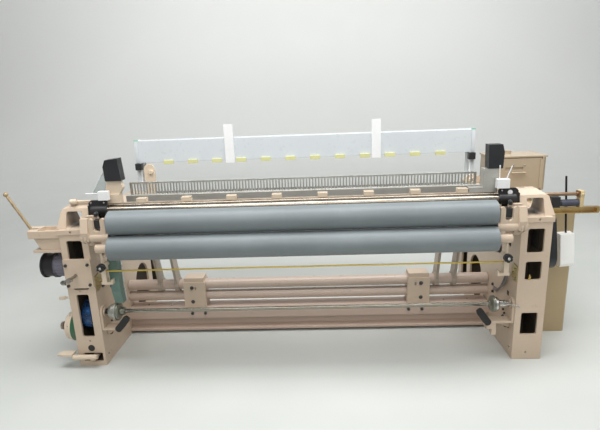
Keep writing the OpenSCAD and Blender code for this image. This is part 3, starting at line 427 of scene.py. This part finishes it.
disc_zinc = metal("disc_zinc", (0.34, 0.35, 0.30), rough=0.34, tarnish=(0.12, 0.11, 0.09), amount=0.5)
dark_steel = metal("dark_steel", (0.10, 0.10, 0.10), rough=0.36, tarnish=(0.05, 0.04, 0.03), amount=0.4)
brass = metal("brass", (0.62, 0.46, 0.17), rough=0.24, tarnish=(0.30, 0.2, 0.08), amount=0.4)
pipe_grey = metal("pipe_grey", (0.30, 0.30, 0.31), rough=0.38)
strip_bright = metal("strip_bright", (0.80, 0.80, 0.78), rough=0.3, metallic=0.5)

pulley_paint = two_tone("pulley_paint", ((0.008, 0.008, 0.009), 0.0, 0.50), ((0.155, 0.150, 0.185), 0.2, 0.42),
                        "X", -1.5655, -1.5015)
feeder_finish = two_tone("feeder_finish", ((0.014, 0.014, 0.016), 0.0, 0.42), ((0.080, 0.085, 0.115), 0.3, 0.40),
                         "X", HALF_GAP + 0.286, HALF_GAP + 0.390)
chuck_finish = two_tone("chuck_finish", ((0.40, 0.405, 0.36), 0.9, 0.30), ((0.020, 0.020, 0.018), 0.2, 0.45),
                        "X", -HALF_GAP, -HALF_GAP + 0.0465)
box_finish = two_tone("hanging_box_finish", ((0.93, 0.92, 0.89), 0.0, 0.22), ((0.020, 0.020, 0.022), 0.4, 0.40),
                      "Z", 0.772, 1.30, worn=0.94)

# Finish of the CAD nodes
FINISHES = (
    (frame_beige, "left_side_frame right_side_frame"),
    (beige, "bearing_blocks roller_bracket_left roller_bracket_right cloth_brackets cover_plate outboard_bracket"),
    (beam_beige, "cross_beam rear_beam"),
    (shaft_beige, "stay_tube rocking_shaft"),
    (sword_cast, "sley_swords"),
    (cabinet_beige, "control_cabinet cabinet_door"),
    (guard_beige, "drive_guard"),
    (cream, "guide_hangers temple_clamps feeler_column_left tower_fitting foot_pedal"),
    (gear_case_finish(), "gear_case"),
    (post_white, "beam_posts"),
    (beam_white, "top_beam"),
    (strap_white, "beam_straps"),
    (clip_yellow, "beam_clips"),
    (white_plastic, "guide_blocks"),
    (black_plastic, "sensor_boxes"),
    (bracket_black, "breast_brackets"),
    (black, "belt_guard bearing_slides"),
    (lever_black, "lock_lever_left lock_lever_right"),
    (knob_black, "pressure_knob_left pressure_knob_right"),
    (pulley_paint, "hand_pulley"),
    (feeder_finish, "feeder_cylinder"),
    (box_finish, "hanging_box"),
    (roller_rubber(), "take_up_roller press_roller"),
    (mesh_green(), "chain_guard"),
    (clear_sheet(), "splash_guard"),
    (handle_finish(), "start_handle"),
    (wheel_blue(), "drive_gear"),
    (chrome, "breast_pipe"),
    (tarnished_bar, "temple_bar"),
    (holder_metal, "feeler_column_right reed_holder"),
    (reed_metal, "reed"),
    (guide_yellow, "guide_rod"),
    (plate_zinc, "wall_plates"),
    (yellow_zinc, "feeder_arm"),
    (copper, "feeder_rod"),
    (steel, "crank_stub back_rest"),
    (dark_steel, "frame_bolts"),
    (shaft_steel, "cloth_shaft"),
    (chuck_finish, "chuck_left"),
    (zinc, "chuck_right"),
    (disc_zinc, "chuck_discs"),
)
finish_of = {name: finish for finish, names in FINISHES for name in names.split()}
for name, obj in nodes.items():
    if not obj.material_slots:
        obj.data.materials.append(finish_of[name])
    for slot in obj.material_slots:
        slot.material = finish_of[name]


# Mesh helpers
def add_lathe(bm, base, direction, profile, steps=32, six_sided=()):
    """Revolves (height, radius) pairs in mm about a line; the rings numbered in six_sided are hexagons."""
    spin = Vector((0, 0, 1)).rotation_difference(Vector(direction).normalized()).to_matrix()
    rings = []
    for number, (height, radius) in enumerate(profile):
        ring = []
        for i in range(steps if radius else 1):
            a = math.tau * i / steps
            r = radius / 1000
            if number in six_sided:
                r *= math.cos(math.pi / 6) / math.cos(a % (math.pi / 3) - math.pi / 6)
            ring.append(bm.verts.new(base + spin @ Vector((r * math.cos(a), r * math.sin(a), height / 1000))))
        rings.append(ring)
    for a, b in zip(rings, rings[1:]):
        for i in range(steps):
            j = (i + 1) % steps
            if len(a) == 1:
                bm.faces.new((a[0], b[j], b[i]))
            elif len(b) == 1:
                bm.faces.new((a[i], a[j], b[0]))
            else:
                bm.faces.new((a[i], a[j], b[j], b[i]))


def add_disc(bm, base, direction, rim, top, steps=20):
    """Disc or pin with a chamfered edge, which runs from the rim to the top, each (height, radius) in mm."""
    add_lathe(bm, base, direction, [(0, 0), (0, rim[1]), rim, top, (top[0], 0)], steps)


def add_hex(bm, base, direction, size, height, washer=True):
    """Hex head with a chamfered top, on a washer."""
    washer_t, washer_edge, head_edge = 2.0, 0.6, 1.6
    start = 0.0
    if washer:
        add_disc(bm, base, direction, (washer_t - washer_edge, size * 0.72), (washer_t, size * 0.66), 24)
        start = washer_t
    r = size / math.sqrt(3)
    add_lathe(bm, base, direction, [
        (start, 0), (start, r), (height - head_edge, r), (height, r * 0.82), (height, 0)], 6)


def add_socket(bm, base, direction, size, height):
    """Socket head screw with its hexagon recess."""
    r, edge, recess_floor = size / 2, 1.0, height * 0.4
    add_lathe(bm, base, direction, [
        (0, 0), (0, r), (height - edge, r), (height, r - edge), (height, size * 0.29),
        (recess_floor, size * 0.25), (recess_floor, 0)], 24, six_sided=(4, 5))


def add_box(bm, a, b, edge):
    """Box between two corners in metres, with rounded edges of the given width in mm."""
    lo = Vector((min(a.x, b.x), min(a.y, b.y), min(a.z, b.z)))
    hi = Vector((max(a.x, b.x), max(a.y, b.y), max(a.z, b.z)))
    verts = bmesh.ops.create_cube(bm, size=1.0)["verts"]
    for v in verts:
        v.co = Vector((lo[i] + (v.co[i] + 0.5) * (hi[i] - lo[i]) for i in range(3)))
    edges = list(dict.fromkeys(e for v in verts for e in v.link_edges))
    bmesh.ops.bevel(bm, geom=edges, offset=edge / 1000, segments=2, profile=0.6, affect="EDGES")


def smooth_path(points, per=10):
    """Catmull-Rom line through the given points, with so many steps between two of them."""
    full = [points[0] * 2 - points[1]] + points + [points[-1] * 2 - points[-2]]
    out = []
    for i in range(1, len(full) - 2):
        p0, p1, p2, p3 = full[i - 1:i + 3]
        for k in range(per):
            t = k / per
            out.append(0.5 * ((2 * p1) + (p2 - p0) * t + (2 * p0 - 5 * p1 + 4 * p2 - p3) * t * t
                              + (3 * p1 - p0 - 3 * p2 + p3) * t ** 3))
    out.append(points[-1])
    return out


def add_tube(bm, path, radius, steps=12):
    """Round bar of a radius in mm along a path of points in metres."""
    rings = []
    side = None
    for i, p in enumerate(path):
        ahead = (path[min(i + 1, len(path) - 1)] - path[max(i - 1, 0)]).normalized()
        if side is None:
            side = ahead.orthogonal().normalized()
        side = (side - ahead * side.dot(ahead)).normalized()
        up = ahead.cross(side)
        turns = [math.tau * k / steps for k in range(steps)]
        rings.append([bm.verts.new(p + (side * math.cos(a) + up * math.sin(a)) * radius / 1000) for a in turns])
    for a, b in zip(rings, rings[1:]):
        for k in range(steps):
            bm.faces.new((a[k], a[(k + 1) % steps], b[(k + 1) % steps], b[k]))
    bm.faces.new(list(reversed(rings[0])))
    bm.faces.new(rings[-1])


def add_prism(bm, outline, offset):
    """Closed prism over a flat outline of points, pushed out by the offset vector."""
    a = [bm.verts.new(p) for p in outline]
    b = [bm.verts.new(p + offset) for p in outline]
    bm.faces.new(a)
    bm.faces.new(list(reversed(b)))
    for i in range(len(a)):
        j = (i + 1) % len(a)
        bm.faces.new((a[j], a[i], b[i], b[j]))


def linked(name, mesh, bm):
    """Object of the mesh in bm, with smooth faces, in the scene."""
    bm.to_mesh(mesh)
    bm.free()
    for face in mesh.polygons:
        face.use_smooth = True
    obj = bpy.data.objects.new(name, mesh)
    scene.collection.objects.link(obj)
    return obj


def piece(name, bm, body, mat, bevel=0.0):
    """Visible piece that rides a body, with its edges rounded by a width in mm."""
    bmesh.ops.recalc_face_normals(bm, faces=bm.faces)
    mesh = bpy.data.meshes.new(name)
    obj = linked(name, mesh, bm)
    mesh.set_sharp_from_angle(angle=math.radians(35))
    mesh.materials.append(mat)
    if bevel:
        mod = obj.modifiers.new("edges", "BEVEL")
        mod.width = bevel / 1000
        mod.segments = 2
        mod.limit_method = "ANGLE"
        mod.harden_normals = True
    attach(obj, body)
    return obj


# Floor that rises behind the loom in a quarter circle, pale, and painted paler far away where the lamps light it less
SWEEP_START, SWEEP_RADIUS = 7.0, 4.0
section = [(-20.0, 0.0), (SWEEP_START, 0.0)]
for degrees in range(6, 91, 6):
    a = math.radians(degrees)
    section.append((SWEEP_START + SWEEP_RADIUS * math.sin(a), SWEEP_RADIUS - SWEEP_RADIUS * math.cos(a)))
section.append((SWEEP_START + SWEEP_RADIUS, 16.0))
bm = bmesh.new()
rows = [[bm.verts.new((x, y, z)) for x in (-24.0, 24.0)] for y, z in section]
for a, b in zip(rows, rows[1:]):
    bm.faces.new((a[0], a[1], b[1], b[0]))
floor = linked("floor", bpy.data.meshes.new("floor"), bm)
floor.location = (0, 0, -0.0005)
n = Nodes("floor_pale")
reach = n.new("ShaderNodeVectorMath", operation="LENGTH")
n.link(n.coord, reach.inputs[0])
# Painted light: paler with distance from the middle, standing in for lamp light that falls off
far_painted_paler = n.ramp(n.times(reach.outputs["Value"], 0.05), [(0.22, 0.0), (0.62, 1.0)])
near_tone = n.ramp(n.noise(0.7, 3), [(0.3, (0.50, 0.52, 0.495)), (0.7, (0.555, 0.57, 0.545))])
n.set(Base_Color=n.mix(far_painted_paler, near_tone, (0.92, 0.93, 0.91)),
      Roughness=n.ramp(n.noise(2.5, 4), [(0.3, 0.42), (0.7, 0.55)]))
floor.data.materials.append(n.mat)
floor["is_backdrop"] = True

# World: bright to a little above the horizon, greyer towards the top
world = bpy.data.worlds.new("studio")
scene.world = world
world.use_nodes = True
tree = world.node_tree
tree.nodes.clear()
coord, split, half, sky, background, out = (tree.nodes.new("ShaderNode" + kind) for kind in (
    "TexCoord", "SeparateXYZ", "Math", "ValToRGB", "Background", "OutputWorld"))
half.operation = "MULTIPLY_ADD"
half.inputs[1].default_value = 0.5
half.inputs[2].default_value = 0.5
for element, place, tone in zip(sky.color_ramp.elements, (0.52, 0.80), ((1.0, 1.0, 0.99, 1), (0.42, 0.43, 0.44, 1))):
    element.position = place
    element.color = tone
background.inputs["Strength"].default_value = 0.38
for source, target in ((coord.outputs["Generated"], split), (split.outputs[2], half), (half.outputs[0], sky),
                       (sky.outputs[0], background), (background.outputs[0], out)):
    tree.links.new(source, target.inputs[0])


def area(name, place, aim, size, energy, colour=(1, 1, 1)):
    """Rectangular light at a place, turned to the aim."""
    light = bpy.data.lights.new(name, "AREA")
    light.shape = "RECTANGLE"
    light.size, light.size_y = size
    light.energy = energy
    light.color = colour
    obj = bpy.data.objects.new(name, light)
    obj.location = place
    obj.rotation_euler = (Vector(aim) - Vector(place)).to_track_quat("-Z", "Y").to_euler()
    scene.collection.objects.link(obj)


area("top_light", (0.2, -0.9, 4.6), (0, 0, 0.6), (6.0, 2.2), 315)
area("front_light", (0.2, -4.4, 3.9), (0.2, 0, 0.7), (4.5, 2.2), 92, (1.0, 0.985, 0.96))
area("right_light", (4.6, -1.8, 2.8), (0.4, 0, 0.7), (2.4, 2.4), 26, (0.97, 0.985, 1.0))
area("backdrop_light", (0, 3.5, 7.5), (0, 10.5, 3.0), (14.0, 2.0), 520)

# Camera, fitted to the edges of the loom in the photograph
CAMERA_PLACE = (0.125, -3.223, 1.672)
YAW, PITCH, ROLL = math.radians(-2.59), math.radians(14.33), math.radians(2.27)
# Both in pixels
FOCAL_LENGTH, PICTURE_WIDTH = 472.1, 600
ahead = Vector((math.sin(YAW) * math.cos(PITCH), math.cos(YAW) * math.cos(PITCH), -math.sin(PITCH)))
side = Vector((math.cos(YAW), -math.sin(YAW), 0))
down = ahead.cross(side)
across = math.cos(ROLL) * side + math.sin(ROLL) * down
below = -math.sin(ROLL) * side + math.cos(ROLL) * down
lens = bpy.data.cameras.new("camera")
lens.sensor_fit = "HORIZONTAL"
lens.sensor_width = 36
lens.lens = FOCAL_LENGTH / PICTURE_WIDTH * lens.sensor_width
camera = bpy.data.objects.new("camera", lens)
camera.matrix_world = Matrix(
    [(across[i], -below[i], -ahead[i], CAMERA_PLACE[i]) for i in range(3)] + [(0, 0, 0, 1)])
scene.collection.objects.link(camera)
scene.camera = camera
scene.view_settings.view_transform = "Standard"
scene.view_settings.look = "None"

# Small fittings, each on the face that carries it
TO_RIGHT, TO_LEFT = Vector((1, 0, 0)), Vector((-1, 0, 0))
FRONT, UP = Vector((0, -1, 0)), Vector((0, 0, 1))
# Point function, inward direction and name of each end
ENDS = ((left, TO_RIGHT, "left"), (right, TO_LEFT, "right"))
BLOCK_SCREW_Z = (344, 236)
# From the face of the cabinet door to the front of its handle
HANDLE_REACH = 19
DOOR_FACE = round((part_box("cabinet_door")[0][1] - Y0) * 1000 + HANDLE_REACH, 1)

# Screws sunk in the inner walls, on the tube rings and flanges of the roller brackets, and in the bearing blocks
BLOCK_WASHER_T = 1.8
bm = bmesh.new()
for end, inward, _ in ENDS:
    for y, z in ((94, 188), (49, 60)):
        add_socket(bm, end(-9, y, z), inward, 15, 6)
    for u in (20, 40):
        add_socket(bm, end(u, -68, TUBE_RING_TOP), UP, 10, 4)
    for y, z in ((22, 838), (22, 900), (88, 842)):
        add_hex(bm, end(FLANGE_FACE, y, z), inward, 15, 9)
for x in (-822, 822):
    for z in BLOCK_SCREW_Z:
        add_disc(bm, centre(x, BLOCK_FACE, z), FRONT, (1.2, 14), (BLOCK_WASHER_T, 13), 32)
        add_socket(bm, centre(x, BLOCK_FACE - BLOCK_WASHER_T, z), FRONT, 20, 7)
piece("dark_screws", bm, "frame", dark_steel)

# Screws round the rim of the gear case, on the breast brackets, the post feet, the inner walls and the cross beam
RIM_SCREWS, RIM_SCREW_R = 8, 92
bm = bmesh.new()
for i in range(RIM_SCREWS):
    a = math.tau * (i + 0.5) / RIM_SCREWS
    place = left(-226, 100 + RIM_SCREW_R * math.cos(a), 240 + RIM_SCREW_R * math.sin(a))
    add_hex(bm, place, TO_LEFT, 9, 6, washer=False)
for (end, inward, _), bracket_screws in zip(ENDS, (
        ((112, 1000), (32, 1080), (112, 1080)),
        ((28, 1000), (112, 1000), (112, 1080)))):
    for u, z in bracket_screws:
        add_socket(bm, end(u, BREAST_FACE, z), FRONT, 11, 5)
    for y in (936, 1012):
        for z in (830, 905):
            add_hex(bm, end(POST_INNER_FACE, y, z), inward, 14, 8)
    add_hex(bm, end(0, 24, 238), inward, 11, 7)
for x in (-1170, -1000, 1000, 1170):
    add_hex(bm, centre(x, 494, CROSS_TOP), UP, 14, 8)
piece("bright_screws", bm, "frame", zinc)

# Screws on the cabinet door above its handle
bm = bmesh.new()
for u in (-290, -210):
    add_hex(bm, right(u, DOOR_FACE, 1120), FRONT, 9, 6)
piece("door_screws", bm, "door", zinc)

# Round plate on the right breast bracket and ring on the left one
bm = bmesh.new()
add_disc(bm, right(63, BREAST_FACE, 1069), FRONT, (2.4, 14), (3.4, 13), 32)
add_lathe(bm, left(81, BREAST_FACE, 1025), FRONT, [(0, 6), (0, 13), (3, 13), (4, 11.5), (4, 6), (0, 6)], 28)
piece("bracket_discs", bm, "frame", white_plastic)

# Bent necks from the breast brackets to the tops of the press roller slides
bm = bmesh.new()
for end, _, _ in ENDS:
    add_tube(bm, smooth_path([end(62, 44, 992), end(68, 26, 1002), end(78, 2, 1016), end(88, -22, 1030)]), 12, 16)
    add_disc(bm, end(92, -43, 1016), UP, (20, 10), (22, 8))
    add_tube(bm, smooth_path([end(88, -20, 1030), end(91, -34, 1034), end(92, -43, 1032)]), 8)
add_box(bm, right(46, 50, 985), right(106, 62, 992), 2)
piece("pressure_necks", bm, "frame", black)

# Two bent pipes side by side on the right inner wall
bm = bmesh.new()
for off in (0, 26):
    add_tube(bm, smooth_path([
        right(0, 345 - off, 338 + off * 0.2), right(12, 330 - off, 339 + off * 0.2),
        right(14, 262 - off * 0.7, 352 + off * 0.9), right(14, 188 - off, 436 + off * 0.3),
        right(14, 152 - off, 500), right(12, 140 - off, 540)], 8), 6)
for y, z in ((345, 338), (319, 343)):
    add_disc(bm, right(0, y, z), TO_LEFT, (6, 12), (7, 9))
piece("wall_pipes", bm, "frame", pipe_grey)

# Bolts on the inner walls, a pocket there drawn as a near-black patch of painted shade, and a brass fitting seen
# through a window of the right frame
bm = bmesh.new()
for y, z in ((378, 351), (370, 302), (172, 212), (83, 186)):
    add_hex(bm, right(0, y, z), TO_LEFT, 17, 11)
for y, z in ((392, 470), (392, 300), (210, 470), (96, 520)):
    add_hex(bm, left(0, y, z), TO_RIGHT, 17, 11)
piece("wall_bolts", bm, "frame", dark_steel)

# Painted shade: a thin near-black patch stands in for the dark recess of a pocket
bm = bmesh.new()
add_box(bm, right(0, 110, 384), right(3, 134, 412), 1)
piece("wall_pocket_shade", bm, "frame", painted_shade_dark)

bm = bmesh.new()
add_lathe(bm, right(-73, 8, 533), UP, [
    (0, 0), (0, 9), (10, 9), (11, 6), (16, 6), (17, 8), (26, 8), (27, 4), (33, 4), (33, 0)], 20)
add_disc(bm, right(-73, 8, 552), FRONT, (9, 5), (10, 4), 16)
piece("brass_fitting", bm, "frame", brass)

# Small hooks low in front on the inner walls
for (end, inward, end_name), mat, slot in zip(ENDS, (hook_brown, knob_black), ("clip_yellow", "black_plastic")):
    bm = bmesh.new()
    add_tube(bm, smooth_path([
        end(0, 92, 214), end(14, 92, 213), end(24, 92, 200), end(20, 92, 182), end(8, 92, 178)], 8), 4.5)
    add_disc(bm, end(0, 92, 214), inward, (4, 10), (5, 8))
    piece("hook_" + end_name, bm, "frame", mat)

# Bright strip on the inner side of the chain guard, along its rear edge
bm = bmesh.new()
add_prism(bm, [left(160, y, z) for y, z in ((52, 733), (52, 521), (64, 432), (77, 432), (66, 521), (66, 733))],
          Vector((0.003, 0, 0)))
piece("guard_strip", bm, "frame", strip_bright)

# Thin pipe behind and above the breast pipe
bm = bmesh.new()
add_tube(bm, [centre(-1278, 92, 1051), centre(1278, 92, 1051)], 6.5, 20)
piece("thin_pipe", bm, "frame", chrome)

# Pins and the oil valve on the outer side of the left frame
bm = bmesh.new()
add_lathe(bm, left(OUTER_FACE, 60, 455), TO_LEFT, [(0, 0), (0, 11), (4, 11), (5, 6), (58, 6), (58, 0)], 20)
add_box(bm, left(-234, 50, 446), left(-276, 70, 464), 3)
add_disc(bm, left(OUTER_FACE, 44, 118), TO_LEFT, (12, 9), (14, 6))
piece("side_pins", bm, "frame", cream)

bm = bmesh.new()
add_lathe(bm, left(OUTER_FACE, 60, 558), TO_LEFT, [
    (0, 0), (0, 17), (6, 17), (7, 10), (18, 10), (18, 14), (30, 14), (31, 9), (40, 9), (40, 16), (58, 16),
    (60, 14), (66, 14), (66, 0)], 28)
add_hex(bm, left(OUTER_FACE - 66, 60, 558), TO_LEFT, 16, 8, washer=False)
add_tube(bm, smooth_path([left(-190, 60, 548), left(-198, 60, 530), left(-196, 66, 505), left(-180, 74, 490)]), 5)
piece("side_valve", bm, "frame", steel)

# The outer counterbores of the bearing blocks show no screw
bm = bmesh.new()
for x in (-796, 784):
    for z in BLOCK_SCREW_Z:
        add_disc(bm, centre(x, BLOCK_BORE_FLOOR, z), FRONT, (7.4, 6.9), (8, 6.2), 24)
piece("block_plugs", bm, "frame", beige)

# Round plug low on the left front
bm = bmesh.new()
add_lathe(bm, left(-86, 0, 126), FRONT, [
    (0, 0), (0, 22), (1.6, 22), (2.6, 20), (2.6, 13), (1.4, 12), (1.4, 0)], 36)
piece("front_plug", bm, "frame", black_plastic)

# Lobed casting at the foot of the right beam post, and cast plate at the left one
CAST_FACE = 896
bm = bmesh.new()
rim = []
for i in range(60):
    a = math.tau * i / 60
    lobe = 1.0 + 0.10 * math.cos(5 * a + 0.5)
    rim.append(right(12 + 66 * lobe * math.cos(a), CAST_FACE + 18, 991 + 36 * lobe * math.sin(a)))
add_prism(bm, rim, Vector((0, -0.018, 0)))
add_box(bm, right(-44, 884, FRAME_TOP), right(52, 914, 962), 3)
add_lathe(bm, right(20, CAST_FACE, 986), FRONT, [
    (0, 0), (0, 26), (6, 26), (14, 21), (14, 11), (2, 10), (2, 0)], 32)
piece("rear_boss", bm, "frame", cream, bevel=2)

bm = bmesh.new()
for a in (0.75, 2.0, 3.3, 4.5, 5.7):
    add_socket(bm, right(12 + 56 * math.cos(a), CAST_FACE, 991 + 28 * math.sin(a)), FRONT, 9, 4)
piece("rear_boss_screws", bm, "frame", cream)

bm = bmesh.new()
rim = []
for i in range(13):
    a = math.pi * i / 12
    rim.append(left(103 + 43 * math.cos(a), CAST_FACE, 1149 + 43 * math.sin(a)))
for u, z in ((60, 1000), (56, 972), (-20, 972), (-20, 945), (124, 945), (146, 985)):
    rim.append(left(u, CAST_FACE, z))
add_prism(bm, rim, Vector((0, 0.014, 0)))
add_box(bm, left(-30, 880, FRAME_TOP), left(-2, 930, 952), 2)
add_disc(bm, left(115, CAST_FACE, 1130), FRONT, (12, 18), (14, 15), 28)
piece("rear_plate", bm, "frame", cream, bevel=1.5)

# Belt guard in place of its node, whose mesh holds some faces twice: two arcs joined by straight flanks
GUARD_LOW_R, GUARD_TOP_R, GUARD_RISE = 0.078, 0.028, 0.220
ARC_STEPS = 32
low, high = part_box("belt_guard")
flank = math.asin((GUARD_LOW_R - GUARD_TOP_R) / GUARD_RISE)
rim = []
for z, r, first, last in (
        (low[2] + GUARD_LOW_R, GUARD_LOW_R, math.pi - flank, math.tau + flank),
        (low[2] + GUARD_LOW_R + GUARD_RISE, GUARD_TOP_R, flank, math.pi - flank)):
    for i in range(ARC_STEPS + 1):
        a = first + (last - first) * i / ARC_STEPS
        rim.append(Vector((low[0], (low[1] + high[1]) / 2 + r * math.cos(a), z + r * math.sin(a))))
bm = bmesh.new()
add_prism(bm, rim, Vector((high[0] - low[0], 0, 0)))
cover = piece("belt_guard_cover", bm, "frame", black, bevel=2.5)
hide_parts("belt_guard")

# Latch rod from the right chuck to the front of the frame
bm = bmesh.new()
add_tube(bm, smooth_path([right(64, 14, 372), right(40, 4, 374), right(10, -10, 372), right(-10, -16, 370)], 8), 4)
add_disc(bm, right(-10, -16, 370), (0.9, -0.3, 0), (8, 6), (10, 4), 16)
add_box(bm, right(14, 6, 366), right(26, 22, 380), 2)
piece("latch_rod", bm, "frame", steel)

# Strips on the fronts of the beam posts, below the beam and at its ends, and the caps on the post tops
STRIP_T = 4.5
bm = bmesh.new()
for end, _, _ in ENDS:
    for z1, z2 in ((936, 1147), (1199, 1370)):
        add_box(bm, end(-2, POST_FACE - STRIP_T, z1), end(26, POST_FACE, z2), 1)
    for z in (1000, 1120):
        add_hex(bm, end(14, POST_FACE - STRIP_T, z), FRONT, 9, 6)
piece("beam_end_strips", bm, "frame", beam_white)

bm = bmesh.new()
for end, _, _ in ENDS:
    add_box(bm, end(-2, 914, 1369), end(28, 940, 1378), 3)
piece("beam_end_caps", bm, "frame", cap_green)

# Ring faces on the ends of the two cloth rollers
for body, y, z in (("take_up", -80, 828), ("press", -43, 971.92)):
    bm = bmesh.new()
    for x, out in ((-1128, TO_LEFT), (1128, TO_RIGHT)):
        add_lathe(bm, centre(x, y, z), out, [
            (0, 0), (0, 67), (1.5, 67), (2.5, 66), (2.5, 46), (1.2, 44), (1.2, 30), (5, 28), (5, 0)], 48)
    piece("roller_caps_" + body, bm, body, dark_steel)

# Near-black sheets inside the openings in the outer sides of the frames, painted shade for the dark inside
bm = bmesh.new()
for end, inward, _ in ENDS:
    add_box(bm, end(-162, 122, 682), end(-160, 213, 868), 0.8)
    for z in (688, 862):
        for y in (128, 207):
            add_socket(bm, end(-160, y, z), inward, 7, 3)
piece("opening_shade_sheets", bm, "frame", painted_shade_dark)

# Bright caps of the star knobs
for end, _, end_name in ENDS:
    bm = bmesh.new()
    add_disc(bm, end(108, -119, 714), FRONT, (1.5, 8), (3, 6), 24)
    body = end_name + "_knob"
    piece("knob_cap_" + body, bm, body, zinc)

# Lip round the splash sheet
bm = bmesh.new()
add_tube(bm, [left(u, 160, z) for u, z in ((-4, 1118), (66, 1231), (124, 1292), (150, 1292), (150, 1212))], 2.2, 10)
piece("guard_lip", bm, "frame", lip_haze)

# End plate of the feeder
bm = bmesh.new()
add_box(bm, right(-411, 124, 945), right(-389, 176, 1046), 5)
add_hex(bm, right(-400, 124, 1025), FRONT, 13, 6)
piece("feeder_end", bm, "frame", feeder_gold)

low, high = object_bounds()
